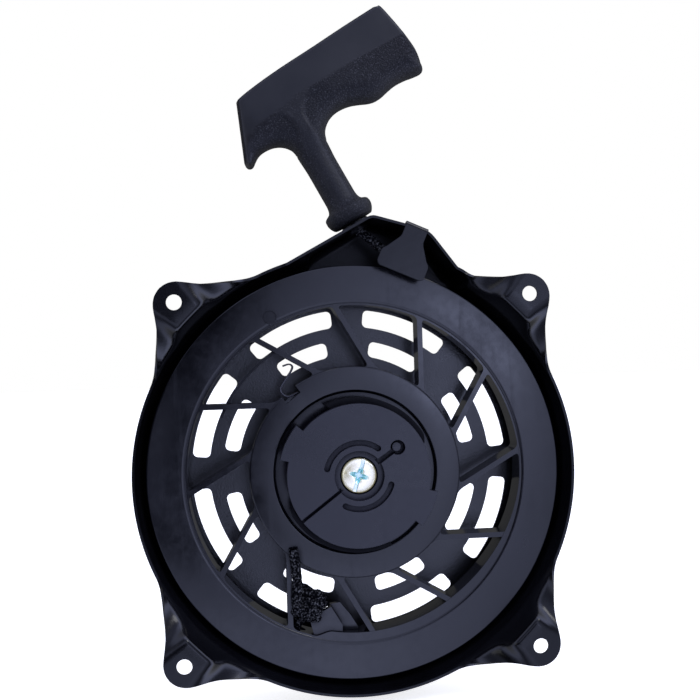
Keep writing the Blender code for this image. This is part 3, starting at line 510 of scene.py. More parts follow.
def grip_plastic():
    """Smooth panels and a grained gripping surface, told apart by an attribute, which also paints
    shade in a band along the crisp edges.
    """
    dark, light = (0.006, 0.006, 0.008), (0.011, 0.011, 0.013)
    shader = Shader("visual_grip", dark, 0.5)
    zone = shader.attribute("finish_zone_and_edge_shade")
    smooth = shader.spread(zone, 0, 1)
    # Painted shade: near the crisp edges the attribute falls below zero, which dims the gloss and
    # the grain.
    inside = shader.spread(zone, -1, 0, 0.2, 1)
    grain = shader.times(inside, shader.maths("SUBTRACT", 1, smooth))
    colour, drift = shader.mottled(20, dark, light, -0.04, 0.05)
    # Painted highlights: light specks on the grained surface.
    painted_glint = shader.spread(shader.noise(0.55, 3), 0.52, 0.7, 0, 0.8)
    shader.set("Base Color", shader.mix(shader.times(painted_glint, grain), colour, (0.055, 0.055, 0.06)))
    shader.set("Specular IOR Level", shader.times(inside, shader.spread(smooth, 0, 1, 0.22, 0.39)))
    rough = shader.plus(shader.spread(smooth, 0, 1, 0.58, 0.4), drift)
    scratch = shader.noise(4, 4, ((0.06, 1, 1), (0, 28, 0)))
    shader.set("Roughness", shader.plus(rough, shader.spread(scratch, 0.6, 0.72, 0, 0.1)))
    shader.bump(shader.noise(10), 0.1, 0.4)
    shader.bump(shader.times(shader.noise(0.8, 3), grain), 0.3)
    shader.bump(shader.noise(0.3), 0.01, 0.5)
    return shader.material


def zinc():
    """Bright zinc plating: painted glare, a weak emission, on the crown, blue passivation left in
    the recess.
    """
    shader = Shader("visual_zinc", (1, 0.97, 0.84), 0.3, 1)
    crown = shader.spread(shader.crevice(2.5), 0.45, 0.9)
    stain = shader.spread(shader.noise(5, 3), 0.45, 0.75, 0, 0.7)
    plated = shader.mix(stain, (1, 0.97, 0.84), (0.8, 0.86, 0.8))
    shader.set("Base Color", shader.mix(crown, (0.5, 0.86, 0.9), plated))
    shader.set("Roughness", shader.spread(shader.noise(0.8, 4), 0.3, 0.7, 0.24, 0.38))
    # Painted light: the crown glows a little, though no lamp is there.
    shader.set("Emission Color", (1, 0.92, 0.55))
    shader.set("Emission Strength", shader.times(crown, 0.28))
    shader.bump(shader.noise(1.6, 3), 0.02, 0.6)
    return shader.material


def metal(name, colour, rough, tint=None):
    """Bare metal with a darker bloom, or a bloom of the tint given."""
    shader = Shader(name, colour, rough, 1)
    bloom = shader.spread(shader.noise(5, 3), 0.35, 0.7, 0, 0.8)
    shader.set("Base Color", shader.mix(bloom, colour, tint or tuple(c * 0.72 for c in colour)))
    fine = shader.spread(shader.noise(0.8, 4), 0.3, 0.7, 0, 0.16)
    shader.set("Roughness", shader.plus(fine, rough - 0.06))
    shader.bump(shader.noise(1.6, 3), 0.02, 0.6)
    return shader.material


def cord():
    """Black synthetic yarn: fine fibres, matt, with painted highlights, specks of light on its
    crowns.
    """
    shader = Shader("visual_cord", (0.003, 0.003, 0.004), 0.6)
    fibre = shader.noise(0.22, 3)
    painted_glint = shader.spread(shader.noise(0.9), 0.5, 0.68)
    crown = shader.times(shader.times(fibre, painted_glint), shader.crevice(0.8))
    # Painted highlights: grey specks on the open crowns of the fibres.
    shader.set("Base Color", shader.mix(crown, (0.003, 0.003, 0.004), (0.2, 0.2, 0.2)))
    shader.set("Specular IOR Level", shader.times(painted_glint, 0.35))
    shader.bump(fibre, 0.05, 0.8)
    return shader.material


def wound_cord():
    """The same cord where it is wound tight: the braid is shaded as relief, by a bump and by
    painted light and shade in its bands.
    """
    shader = Shader("visual_wound_cord", (0.006, 0.006, 0.007), 0.6)
    weave = shader.node("TexWave", {"Scale": 0.45, "Distortion": 1.5, "Vector": shader.place},
        wave_type="BANDS", bands_direction="DIAGONAL").outputs[1]
    fibre = shader.noise(0.4, 3)
    # Painted light and shade: the weave's bands are lighter and darker in the base colour.
    shader.set("Base Color", shader.mix(shader.times(weave, fibre), (0.004, 0.004, 0.005),
        (0.045, 0.045, 0.05)))
    shader.bump(weave, 0.3, 0.8)
    shader.bump(fibre, 0.05, 0.6)
    return shader.material


ENAMEL = enamel()
PULLEY_PLASTIC = plastic("visual_pulley", (0.003, 0.003, 0.005), (0.006, 0.006, 0.009), 0.17)
PLATE_PLASTIC = plastic("visual_plate", (0.01, 0.01, 0.015), (0.014, 0.014, 0.02), 0.29)
# Painted shade: the pawls lie deep in the hub, so they get a darker, less glossy copy of the
# plate's plastic.
SHADED_PAWL_PLASTIC = plastic("visual_pawl_painted_shade", (0.003, 0.003, 0.004), (0.005, 0.005, 0.007), 0.45,
    gloss=0.12)
GRIP_PLASTIC = grip_plastic()
ZINC = zinc()
STEEL = metal("visual_steel", (0.45, 0.45, 0.46), 0.36)
SPRING_STEEL = metal("visual_spring_steel", (0.1, 0.1, 0.11), 0.24, (0.04, 0.04, 0.05))
CORD = cord()
WOUND_CORD = wound_cord()


def place(piece, body, slot, *nodes):
    """Put a piece on its body and let it stand for CAD nodes."""
    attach(piece, body)
    if nodes:
        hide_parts(*nodes)


# ---- housing

SHEET = 1.2
LIP_RADIUS = 99.2
LIP_DEPTH = 11
PAN_DEPTH = 41.7
BOLT_RADIUS = 110.3
BOLT_HOLE = 3.4
# Rows of eight vents: inner radius, outer radius, half their width in degrees.
VENT_ROWS = ((66.6, 74.8, 16.5), (53, 60.3, 12.5))
VENT_CORNER = 2.3
PULL_ANGLE = 118.5
# Flat sides of the pull guide: distance from the pulley axis, and direction.
SPOUT_TOP = (114.1, 74.1)
SPOUT_FLANK = (93.3, 36.7)
TAB_ANGLE = 66.5
TAB_ACROSS = -16
EYELET_FACE = 97.2
GRIP_OFFSET = 57.2
ROPE_PLANE = 23.9

# Across half an ear: angle from its middle, and what the sheet does there.
EAR_EDGE = ((0, 118.9), (1.5, 118.4), (2.6, 117.4), (3.6, 115.9), (4.4, 114), (5.4, 111.6),
    (7.6, 108.4), (9.7, 106), (11.8, 104), (15, 101.3), (18, 99.6), (20, LIP_RADIUS))
EAR_EDGE_DEPTH = ((0, 0), (4.1, 0), (5, 0.7), (6.2, 2.6), (8.5, 5.2), (11.8, 7.9), (15, 9.7),
    (18, 10.8), (20, LIP_DEPTH))
EAR_CREASE = ((0, 101.7), (3.9, 101.8), (5, 101.5), (6.5, 101), (9, 100.2), (12, 99.7), (16, 99.3),
    (20, 99.1))
EAR_CREASE_DEPTH = ((0, 0), (3.7, 0), (4.5, 1.2), (5.6, 4.4), (7.6, 8.2), (11, 11.2), (15, 12.8),
    (20, 13))


def smooth_min(first, second, width):
    """The lesser of two values, blended where they come close."""
    blend = min(max(0.5 + 0.5 * (second - first) / width, 0), 1)
    return second * (1 - blend) + first * blend - width * blend * (1 - blend)


def spout_radius(angle):
    """Reach of the pull guide, whose outline is three flat sides."""
    end, top, flank = (distance / max(cos(radians(angle - normal)), 0.05)
        for distance, normal in ((EYELET_FACE, PULL_ANGLE), SPOUT_TOP, SPOUT_FLANK))
    return smooth_min(smooth_min(end, top, 2), flank, 3)


def housing_cut(angle):
    """Free edge, crease and wall of the sheet at one angle."""
    offset = abs(angle % 90 - 45)
    edge, edge_depth, crease, crease_depth = (curve_value(knots, offset)
        for knots in (EAR_EDGE, EAR_EDGE_DEPTH, EAR_CREASE, EAR_CREASE_DEPTH))
    draft = 1
    if 50 < angle < 108:
        spout = spout_radius(angle)
        web = smooth_step((angle - 54) / 7)
        flare = max(spout, LIP_RADIUS)
        if angle < 80:
            flare = max(flare, 103.4)
        blend_in = smooth_step((108 - angle) / 3) * web
        reach = max(spout, edge * (1 - blend_in) + flare * blend_in)
        edge = max(edge, reach) if angle < 62 else reach
        edge_depth = edge_depth * (1 - web) + (LIP_DEPTH - 0.4) * web
        crease = crease * (1 - web) + (edge - 0.2) * web
        crease_depth = crease_depth * (1 - web) + 12.6 * web
        draft = 1 - smooth_step((edge - 100) / 4) * web
    return edge, edge_depth, crease, crease_depth, draft


def housing_rows(angle):
    """Outside of the sheet from its free edge to the closed end."""
    edge, edge_depth, crease, crease_depth, draft = housing_cut(angle)
    pad = 1 - smooth_step((edge_depth - 0.2) / 6)
    lift = SHEET * (1 - edge_depth / LIP_DEPTH)
    lift_in = SHEET * (1 - crease_depth / 13)
    first = Vector((edge, edge_depth + lift))
    bend = Vector((crease, crease_depth + lift_in))
    wall = Vector((crease - 0.6 * draft - 0.9 * pad, max(crease_depth + 6, 15.5)))
    wall.x = min(wall.x, 98.6 if draft > 0.5 else wall.x)
    rows = [first, first.lerp(bend, 0.33), first.lerp(bend, 0.66)]
    reach = (bend - first).length
    ease = min(1.1, reach * 0.3)
    inward = (first - bend).normalized() * ease if reach > 1e-6 else Vector((0, -ease))
    down = (wall - bend).normalized() * 1.4
    outer = crease if draft < 0.5 else 98.9
    rows += [bend + inward, bend + (inward + down) * 0.28, bend + down, bend.lerp(wall, 0.6), wall,
        Vector((outer - 1.4 * draft, 24)), Vector((outer - 2.4 * draft, 35))]
    corner = Vector((outer - 2.5 * draft, 36.2))
    for turn in (20, 45, 70, 90):
        rows.append(Vector(polar(5.5, turn, (corner.x - 5.5, corner.y))))
    return [(*polar(radius, angle), depth) for radius, depth in rows]


def arc_slot(inner, outer, centre, half, corner):
    """Curved slot with round corners."""
    outline = []
    for radius, turn, sign in ((outer, -1, 1), (inner, 1, -1)):
        ease = degrees(corner / radius)

        def rounding(end, way, shares):
            quarters = [radians(90 * share) for share in shares]
            return [polar(radius + turn * corner * (1 - sin(quarter)),
                centre + end + way * ease * (1 - cos(quarter))) for quarter in quarters]

        shares = [index / 4 for index in range(5)]
        outline += rounding(-half * sign, sign, shares)
        count = int(half - ease)
        outline += [polar(radius, centre - half * sign + sign * (ease
            + 2 * (half - ease) * index / count)) for index in range(1, count)]
        outline += rounding(half * sign, -sign, reversed(shares))
    return outline


def pull_point(across, out):
    return axis_point(PULL_ANGLE, across, out)


def build_housing():
    count = 540
    verts, faces = [], []
    for index in range(count):
        ring = housing_rows(360 * (index + 0.25) / count)
        rows = len(ring)
        verts += [(x, depth, z) for x, z, depth in ring]
    for index in range(count):
        here, there = index * rows, (index + 1) % count * rows
        for row in range(rows - 1):
            faces.append([here + row, there + row, there + row + 1, here + row + 1])
    faces.append([index * rows + rows - 1 for index in range(count)])
    housing = make_piece("housing_shell", verts, faces, ENAMEL)
    wall = housing.modifiers.new("sheet", "SOLIDIFY")
    wall.thickness = SHEET * MM
    wall.offset = -1
    wall.use_even_offset = False
    bake(housing)
    vents = [arc_slot(inner, outer, 22.5 + 45 * index, half, VENT_CORNER)
        for inner, outer, half in VENT_ROWS for index in range(8)]
    holes = [disc_outline(point, BOLT_HOLE) for point in arc(BOLT_RADIUS, 45, 315, 3)]
    ends = (pull_point(GRIP_OFFSET, EYELET_FACE + out) for out in (-4, 4))
    eyelet_tool = sweep("tool", [(x, ROPE_PLANE, z) for x, z in ends], round_section(5.2, 32))
    cut(housing, drill(vents, PAN_DEPTH - 4, PAN_DEPTH + 3),
        drill(disc_outline((0, 0), 5), PAN_DEPTH - 4, PAN_DEPTH + 3), drill(holes, -3, 6),
        eyelet_tool)
    flatten_shading(housing, 50)
    place(housing, "cover", "black_paint", "housing")


def build_rope_guard():
    """Tab folded from the spout's edge, down over the rim."""
    def tab_point(across, out):
        return axis_point(TAB_ANGLE, TAB_ACROSS + across, out)

    def fold(radius, depth, shares):
        turns = [radians(90 * share) for share in shares]
        return [(112.2 + radius * sin(turn), depth + radius * (1 - cos(turn))) for turn in turns]

    neck, body = 5.3, 11.5
    half = [(neck, 112.3), (neck, 107), (neck + 0.5, 105.6), (neck + 1.8, 103.6),
        (body - 1.8, 99.6), (body - 0.6, 98.4), (body, 97), (body, 92.4), (body - 0.5, 91.1),
        (body - 1.8, 90.4)]
    outline = [tab_point(a, o) for a, o in half] + [tab_point(-a, o) for a, o in reversed(half)]
    guard = prism("rope_guard", outline, 9.8, 11, ENAMEL)
    soften(guard, 0.35, angle=40)
    shares = [index / 8 for index in range(9)]
    section = (fold(1.5, 9.8, shares) + [(113.7, 15), (112.5, 15)]
        + fold(0.3, 11, reversed(shares)))
    rings = []
    for across in (-neck, neck):
        points = ((*tab_point(across, out), depth) for out, depth in section)
        rings.append([(x, depth, z) for x, z, depth in points])
    bend = shell_piece("rope_guard_bend", [rings], ENAMEL)
    for piece in (bend, guard):
        place(piece, "cover", "black_paint")


# ---- pulley

PULLEY_FRONT = 19.4
GROOVE_DEPTH = 26.4
SPRING_DEPTH = 31.25
RIM_INNER = 76
HUB_RADIUS = 48
CUP_RADIUS = 36.9
KNOT_ANGLE = 249
NOTCH_ANGLE = 127.5
WINDOWS = 12
FIRST_SPOKE = 5.5
SPOKE_LEAN = 16.5
SPOKE_HALF = 1.15

# Each pawl turns on a pivot and has a pin, which a slot in the plate leads.
PAWL_PIVOT = polar(28.5, 30)
PAWL_HEEL, PAWL_TIP = 30, 114
PAWL_SWING = 14
PIN_REACH, PIN_ANGLE = 11, 118
PLATE_TURN = 28

# Directions of the plate's keyhole and split, and of the screw's slot.
KEY_ANGLE = 34.5
SPLIT_ANGLE = 216.5
DRIVE_ANGLE = 72


def window_outline(index):
    """One opening between two spokes, with its corners rounded."""
    pitch = 360 / WINDOWS
    start = FIRST_SPOKE + pitch * index

    def spoke_edge(angle, side):
        near = Vector(polar(HUB_RADIUS, angle - SPOKE_LEAN))
        far = Vector(polar(RIM_INNER, angle))
        along = (far - near).normalized()
        across = Vector((-along.y, along.x)) * side * SPOKE_HALF
        return near + across - along * 1.5, far + across + along * 1.5

    def at_radius(edge, radius):
        points = (edge[0].lerp(edge[1], step / 399) for step in range(400))
        return next((point for point in points if point.length >= radius), edge[1])

    def side_points(a, b, radius):
        """An arc between two corners, or a straight line if there is no radius."""
        if not radius:
            return [a.lerp(b, s / 16) for s in range(17)]
        angle_a, angle_b = (degrees(atan2(p.y, p.x)) for p in (a, b))
        difference = (angle_b - angle_a + 180) % 360 - 180
        return [Vector(polar(radius, angle_a + difference * s / 16)) for s in range(17)]

    def trim(side, first, last):
        """The side without a length at each of its ends."""
        pairs = [(a, b, (b - a).length) for a, b in zip(side, side[1:])]
        total = sum(length for _, _, length in pairs)
        result, walked = [], 0
        for a, b, length in pairs:
            for share in (0, 0.5):
                if first <= walked + length * share <= total - last:
                    result.append(a.lerp(b, share))
            walked += length
        return result

    low, high = spoke_edge(start, 1), spoke_edge(start + pitch, -1)
    corners = [at_radius(low, RIM_INNER), at_radius(high, RIM_INNER), at_radius(high, HUB_RADIUS),
        at_radius(low, HUB_RADIUS)]
    eases = [1.3, 1.3, 2.6, 2.6]
    kept = []
    for number, radius in enumerate((RIM_INNER, 0, HUB_RADIUS, 0)):
        after = (number + 1) % 4
        side = side_points(corners[number], corners[after], radius)
        kept.append(trim(side, eases[number], eases[after]))
    outline = []
    for number, side in enumerate(kept):
        outline += side
        corner, following = corners[(number + 1) % 4], kept[(number + 1) % 4][0]
        for t in (step / 6 for step in range(1, 6)):
            outline.append(side[-1] * (1 - t) ** 2 + corner * 2 * t * (1 - t) + following * t ** 2)
    return outline


def rim_step_outline():
    """A ledge inside the rim that comes in quickly and fades away."""
    inner, outer = [], []
    for step in range(61):
        share = step / 60
        angle = 253 + 113 * share ** 1.4
        reach = 3.5 * smooth_step((angle - 253.5) / 6.5)
        reach *= 1 - smooth_step((angle - 305) / 61)
        inner.append(polar(RIM_INNER + 0.35 - reach, angle))
        outer.append(polar(RIM_INNER + 2.6, angle))
    return inner + outer[::-1]


def build_pulley():
    blank = lathe("pulley_wheel", [(47.2, 20), (77.6, 20), (77.6, 32.4), (47.2, 32.4)], 180,
        PULLEY_PLASTIC)
    cut(blank, drill([window_outline(index) for index in range(WINDOWS)], 15, 40))
    rim = lathe("tool", [(RIM_INNER, 21.2), (RIM_INNER + 0.35, 20.3), (RIM_INNER + 1.1, 19.75),
        (RIM_INNER + 2.4, PULLEY_FRONT), (93.2, PULLEY_FRONT), (93.75, 19.6), (94, 20.05),
        (94, 20.8), (79.8, 21.3), (79.8, 31.8), (93.2, 32), (93.2, 33.2), (93, 33.4),
        (RIM_INNER + 0.3, 33.4), (RIM_INNER, 33.1)], 240)
    hub = lathe("tool", [(8, 16.2), (11.7, 16.2), (12, 16.5), (12, 21.2), (12.5, 21.5),
        (36.2, 21.5), (CUP_RADIUS, 20.9), (CUP_RADIUS, 20.1), (37.1, 19.6), (37.6, PULLEY_FRONT),
        (47.2, PULLEY_FRONT), (47.8, 19.6), (HUB_RADIUS, 20.1), (HUB_RADIUS, 37.6), (45, 37.6),
        (45, 23.5), (12.5, 23.5), (12.5, 25.2), (8, 25.2)], 180)
    step = drill(rim_step_outline(), 19.9, 33)
    join(blank, rim, hub, step)
    posts = [lathe("tool", [(0, 8.3), (3.1, 8.3), (3.4, 8.6), (3.4, 18.5), (5.4, 18.5),
        (5.4, 22.4), (0, 22.4)], 32, centre=turned(PAWL_PIVOT, turn)) for turn in (0, 180)]
    rib = drill(arc(65.2, 122, 156, 17) + arc(66.4, 156, 122, 17), 24, 31)
    gusset = [(-22.9, -65.5), (-13, -60.8), (-8, -69.3), (-8.2, -77.5), (-20.7, -75)]
    web = [(-13.2, -60.6), (-8.6, -60), (-4, -65.8), (-0.5, -71.6), (0.5, -77.5), (-10, -77.5)]
    join(blank, *posts, rib, drill(web, 25.6, 28), drill(gusset, 21, 24.5))
    ends = (polar(radius, KNOT_ANGLE) for radius in (60, 81.5))
    hole = sweep("tool", [(x, GROOVE_DEPTH, z) for x, z in ends], round_section(2.8, 24))
    notch = [polar(44.1, NOTCH_ANGLE - 4.6), polar(51, NOTCH_ANGLE - 4),
        polar(51, NOTCH_ANGLE + 5), polar(44.1, NOTCH_ANGLE + 5.8)]
    mark = disc_outline(polar(80.3, 117.4), 3)
    cut(blank, hole, drill(notch, 15, 40), drill(mark, 15, 19.7))
    soften(blank, 0.34, segments=3, angle=42, sharp=32, clamp=True)
    place(blank, "pulley_drum", "pulley_plastic", "pulley")


def build_recoil_spring():
    """Flat spiral strip, hooked at its outer end over the hub's wall."""
    hook_angle = NOTCH_ANGLE + 1
    start_angle = hook_angle - 1800
    inner_turn = start_angle - start_angle % 360 - 360
    path = [polar(6.4, inner_turn), polar(9.2, inner_turn), polar(10, inner_turn + 6)]
    for step in range(1, 60):
        share = step / 60
        angle = inner_turn + (start_angle - inner_turn) * share
        path.append(polar(10.2 + 25.55 * smooth_step(share), angle + 8 * (1 - share)))
    for step in range(360):
        share = step / 360
        path.append(polar(35.75 + 8.5 * share, start_angle + 1800 * share))
    hook = [(45.6, 130), (48, 131.2), (50.6, 130.4), (51.8, 127.6), (53, 123.6), (54.3, 120.4),
        (55.8, 118.9), (57.4, 119.8), (58.2, 122.6)]
    path += smooth_outline([polar(r, a) for r, a in hook], 0.5)
    quarter = [(0.35, 4.4), (0.25, 4.55)]
    upper = quarter + [(-a, b) for a, b in quarter[::-1]]
    section = [(-a, -b) for a, b in upper] + upper
    spring = sweep("recoil_strip", [(x, SPRING_DEPTH, z) for x, z in path], section, SPRING_STEEL,
        50, level=True)
    place(spring, "pulley_drum", "spring_steel", "recoil_spring")


# ---- drive plate

def build_plate():
    outline = []
    half, middle = 13.5, 153
    for turn in (0, 180):
        start, end = middle + turn - half, middle + turn + half
        outline += arc(35.6, start, end, 14) + arc(31.8, end, end + 180 - 2 * half, 70)
    plate = prism("drive_plate_body", outline, 3, 7.2, PLATE_PLASTIC)
    join(plate, lathe("tool", [(4, 6.2), (9.4, 6.2), (9.4, 10.4), (4, 10.4)], 63))
    recess = lathe("tool", [(0, 0), (10.9, 0), (10.9, 5.4), (8.3, 5.4), (8.3, 7.5), (5.3, 7.5),
        (5.3, 13), (0, 13)], 96)
    inner, outer = 13.3, 15.8
    middle, reach = (inner + outer) / 2, (outer - inner) / 2
    grooves = []
    for a, b in ((54, 166), (243, 343)):
        round_a, round_b = (arc(reach, end, end + 180, 8, polar(middle, at))[1:-1]
            for at, end in ((a, a + 180), (b, b)))
        grooves.append(arc(outer, a, b, 40) + round_b + arc(inner, b, a, 40) + round_a)
    key = polar(21, KEY_ANGLE)
    neck = [polar(radius, KEY_ANGLE + off) for radius, off in ((9.9, -6.8), (19, -3.4), (19, 3.4),
        (9.9, 6.8))]
    near, far = (Vector(polar(r, SPLIT_ANGLE)) for r in (10, 34))
    across = Vector(polar(0.65, SPLIT_ANGLE + 90))
    split = [near + across, far + across, far - across, near - across]
    cut(plate, recess, drill(grooves, 0, 4.9), drill(neck, 0, 6.4),
        drill(disc_outline(key, 3.2, 40), 0, 6.2), drill(split, 0, 6.6))
    join(plate, drill(disc_outline((key[0] - 0.45, key[1] + 0.25), 2, 40), 4, 6.5))
    # The pawls' pins run in curved slots in the back of the plate.
    for turn in (0, 180):
        path = []
        for step in range(-1, 18):
            share = step / 16
            pin = polar(PIN_REACH, PIN_ANGLE - PAWL_SWING * share, PAWL_PIVOT)
            path.append(Vector(turned(pin, PLATE_TURN * share + turn)))
        left, right = [], []
        for index, point in enumerate(path):
            ahead = path[min(index + 1, len(path) - 1)] - path[max(index - 1, 0)]
            off = Vector((-ahead.y, ahead.x)).normalized() * 1.95
            left.append(point + off)
            right.append(point - off)
        cut(plate, drill(left + right[::-1], 5.3, 8))
    soften(plate, 0.2, angle=52, sharp=32)
    place(plate, "drive_plate", "plate_plastic", "friction_plate")


def build_pawls():
    for name, turn, body, node in (("pawl_arm_a", 0, "pawl_one", "pawl_a"),
            ("pawl_arm_b", 180, "pawl_two", "pawl_b")):
        outline = arc(34.4, PAWL_HEEL, PAWL_TIP, 30)
        for s in range(31):
            share = 1 - s / 30
            angle = PAWL_HEEL + (PAWL_TIP - 4 - PAWL_HEEL) * share
            outline.append(polar(23.4 + 6 * smooth_step(share * 1.6), angle))
        outline += [polar(5.5, PAWL_HEEL + 180 + angle, PAWL_PIVOT)
            for angle in range(20, 180, 20)]
        pawl = prism(name, [turned(point, turn) for point in outline], 7.8, 17.9, SHADED_PAWL_PLASTIC)
        pivot = turned(PAWL_PIVOT, turn)
        pin = polar(PIN_REACH, PIN_ANGLE + turn, pivot)
        join(pawl, drill(disc_outline(pin, 1.5, 24), 5.7, 9.8))
        cut(pawl, drill(disc_outline(pivot, 3.75, 40), 5, 20))
        soften(pawl, 0.25, angle=52, sharp=32)
        place(pawl, body, "plate_plastic", node)


def build_screw():
    head = lathe("screw_head", [(0, 4.35), (3.5, 4.38), (6.2, 4.6), (7.2, 5), (7.7, 5.6),
        (7.8, 6.2), (7.8, 7), (7.6, 7.2), (2.6, 7.2), (2.6, 20), (2, 20.8), (0, 20.8)], 96, ZINC,
        40)
    along = Vector(polar(9, DRIVE_ANGLE))
    across = Vector(polar(0.8, DRIVE_ANGLE + 90))
    slot = [along + across, along - across, -along - across, -along + across]
    cut(head, drill(slot, 0, 5.25))
    # Cross recess: four arms of four corners each, narrowing with depth.
    arm = ((4.4, 0), (4.2, 8), (2, 45), (4.2, 82))
    rings = []
    for depth, scale in ((3, 1.15), (4.5, 1), (7.2, 0.42)):
        corners = (polar(reach * scale, DRIVE_ANGLE + turn + 90 * quarter) for quarter in range(4)
            for reach, turn in arm)
        rings.append([(x, depth, z) for x, z in corners])
    verts = [point for ring in rings for point in ring]
    count = len(rings[0])
    faces = []
    for index in range(count):
        after = (index + 1) % count
        faces += [[base + index, base + after, base + count + after, base + count + index]
            for base in (0, count)]
    faces += [list(range(count)), list(range(2 * count, 3 * count))]
    cut(head, make_piece("tool", verts, faces))
    soften(head, 0.1, angle=50, sharp=40)
    place(head, "cover", "zinc_steel", "centre_screw")


def build_post():
    post = lathe("rivet_post", [(0, 43), (2.2, 43.1), (3, 43.5), (5.2, 43.6), (6.8, 43.2),
        (7.5, 42.5), (7.6, 42), (4.7, 42), (4.7, 40.2), (12, 40.2), (12, 38.7), (9, 38.7),
        (9, 26.3), (7.7, 26.3), (7.7, 16.8), (5, 16.8), (5, 7.6), (2.9, 7.6), (2.9, 22),
        (0, 23.5)], 96, STEEL)
    slot = [(5.2, -0.9), (12, -0.9), (12, 0.9), (5.2, 0.9)]
    cut(post, drill(slot, 26.4, 36.1))
    soften(post, 0.1, angle=60)
    place(post, "cover", "plain_steel", "centre_post")


def build_eyelet():
    profile = [(3.6, -3.2), (3.1, -2.9), (2.9, -2.3), (2.9, 0.6), (3.1, 1.05), (3.6, 1.3),
        (6.2, 1.3), (6.55, 1.1), (6.6, 0.8), (6.6, 0.3), (4.8, 0.3), (4.8, -1.8), (5.6, -1.8),
        (5.6, -2.9), (5.3, -3.2)]
    eyelet = lathe("eyelet_ferrule", profile, 64, ENAMEL)
    flatten_shading(eyelet, 35)
    eyelet.data.transform(PULL_FRAME @ Y_TO_Z)
    place(eyelet, "cover", "black_paint", "rope_eyelet")


# ---- grip

# Shapes drawn along Z are moved to the pull axis, with the eyelet's face at Z = 0.
SEAT = pull_point(GRIP_OFFSET, EYELET_FACE)
PULL_FRAME = (Matrix.Translation(Vector((SEAT[0], ROPE_PLANE, SEAT[1])) * MM)
    @ Matrix.Rotation(radians(90 - PULL_ANGLE), 4, "Y"))
Y_TO_Z = Matrix(((1, 0, 0, 0), (0, 0, -1, 0), (0, 1, 0, 0), (0, 0, 0, 1)))

BAR_TOP = [(-19.4, 75.2), (-12, 76.6), (2.4, 78.3), (22.3, 79.8), (40, 81.3), (57.5, 82.5)]
BAR_END = [(58.9, 82.4), (60.3, 80.1), (61.6, 72.5), (62.6, 65), (63.6, 56.2), (64, 49.4)]
BAR_FINGERS = [(63.3, 46.9), (61.7, 45.8), (58, 46), (53.4, 46.7), (48.5, 46.8), (44, 46),
    (40.2, 45.1), (36.6, 44.9), (33.4, 45.6), (29.6, 47.3), (25.6, 48.7), (21.4, 49.3),
    (17.6, 49.1), (14, 47.9), (11.2, 46), (9.2, 43.6), (8.1, 40.6)]
BAR_HOOK = [(-7.4, 40.6), (-8.1, 43.2), (-9.8, 45.9), (-12.4, 48), (-15.6, 49.2), (-19.2, 49.5),
    (-22.4, 49), (-25.2, 47.4), (-27.2, 45.9), (-28.7, 45.7), (-30, 46.6), (-30.5, 48.6)]
STEM_HALF = ((1.7, 9.6), (2.4, 10), (4, 10.9), (6, 11.4), (7.6, 11.4), (8.8, 10.6), (9.8, 8.6),
    (11.5, 7.7), (14, 7.35), (30, 7.3), (40.6, 7.75))


def grip_silhouette():
    """The grip's outline, with the parts that have a crisp and a soft edge."""
    def dense(points):
        return smooth_outline(points, 0.8)

    fingers = dense(BAR_END[-1:] + BAR_FINGERS)[1:]
    stem_down = [(curve_value(STEM_HALF, w), w) for w in np.arange(40, 1.7, -0.7)]
    base = [(9.4 - 1.9 * s, 1.7) for s in range(10)] + [(-9.4, 1.7)]
    stem_up = [(-curve_value(STEM_HALF, w), w) for w in np.arange(2.2, 40.3, 0.7)]
    hook = dense(BAR_HOOK)
    left = dense([BAR_HOOK[-1], BAR_TOP[0]])[1:]
    top = dense(BAR_TOP)
    end = dense(BAR_END)
    crisp = left + top[1:-1] + end
    soft = end[-1:] + fingers + stem_down + base + stem_up + hook
    return np.array(crisp[:-1] + soft[:-1]), np.array(crisp), np.array(soft)


def inside_outline(points, outline):
    x, y = points[:, 0], points[:, 1]
    inside = np.zeros(len(points), bool)
    ax, ay = outline[:, 0], outline[:, 1]
    bx, by = np.roll(ax, -1), np.roll(ay, -1)
    for x0, y0, x1, y1 in zip(ax, ay, bx, by):
        crosses = (y0 > y) != (y1 > y)
        at = x0 + (y - y0) / (y1 - y0 + 1e-12) * (x1 - x0)
        inside ^= crosses & (x < at)
    return inside


def outline_distance(points, outline, closed=True):
    ends = np.roll(outline, -1, axis=0)
    if not closed:
        outline, ends = outline[:-1], ends[:-1]
    best = np.full(len(points), 1e9)
    for a, b in zip(outline, ends):
        along = b - a
        t = np.clip(((points - a) @ along) / (along @ along + 1e-12), 0, 1)
        gap = points - a - t[:, None] * along
        best = np.minimum(best, np.hypot(gap[:, 0], gap[:, 1]))
    return best


# Lower border of the smooth panel, across the bar; half width of the stem's spine.
PANEL_EDGE = ((-27.8, 46), (-24.5, 53), (-20.8, 57.7), (-16.3, 60), (-11.4, 60.3), (-2.6, 61.6),
    (9.2, 63.4), (33.2, 63.9), (64, 64.3))
SPINE_HALF = ((9, 3.4), (16, 4.1), (42, 3.9), (52, 2.9), (56.5, 4.4), (59.5, 6.6), (62.5, 11))


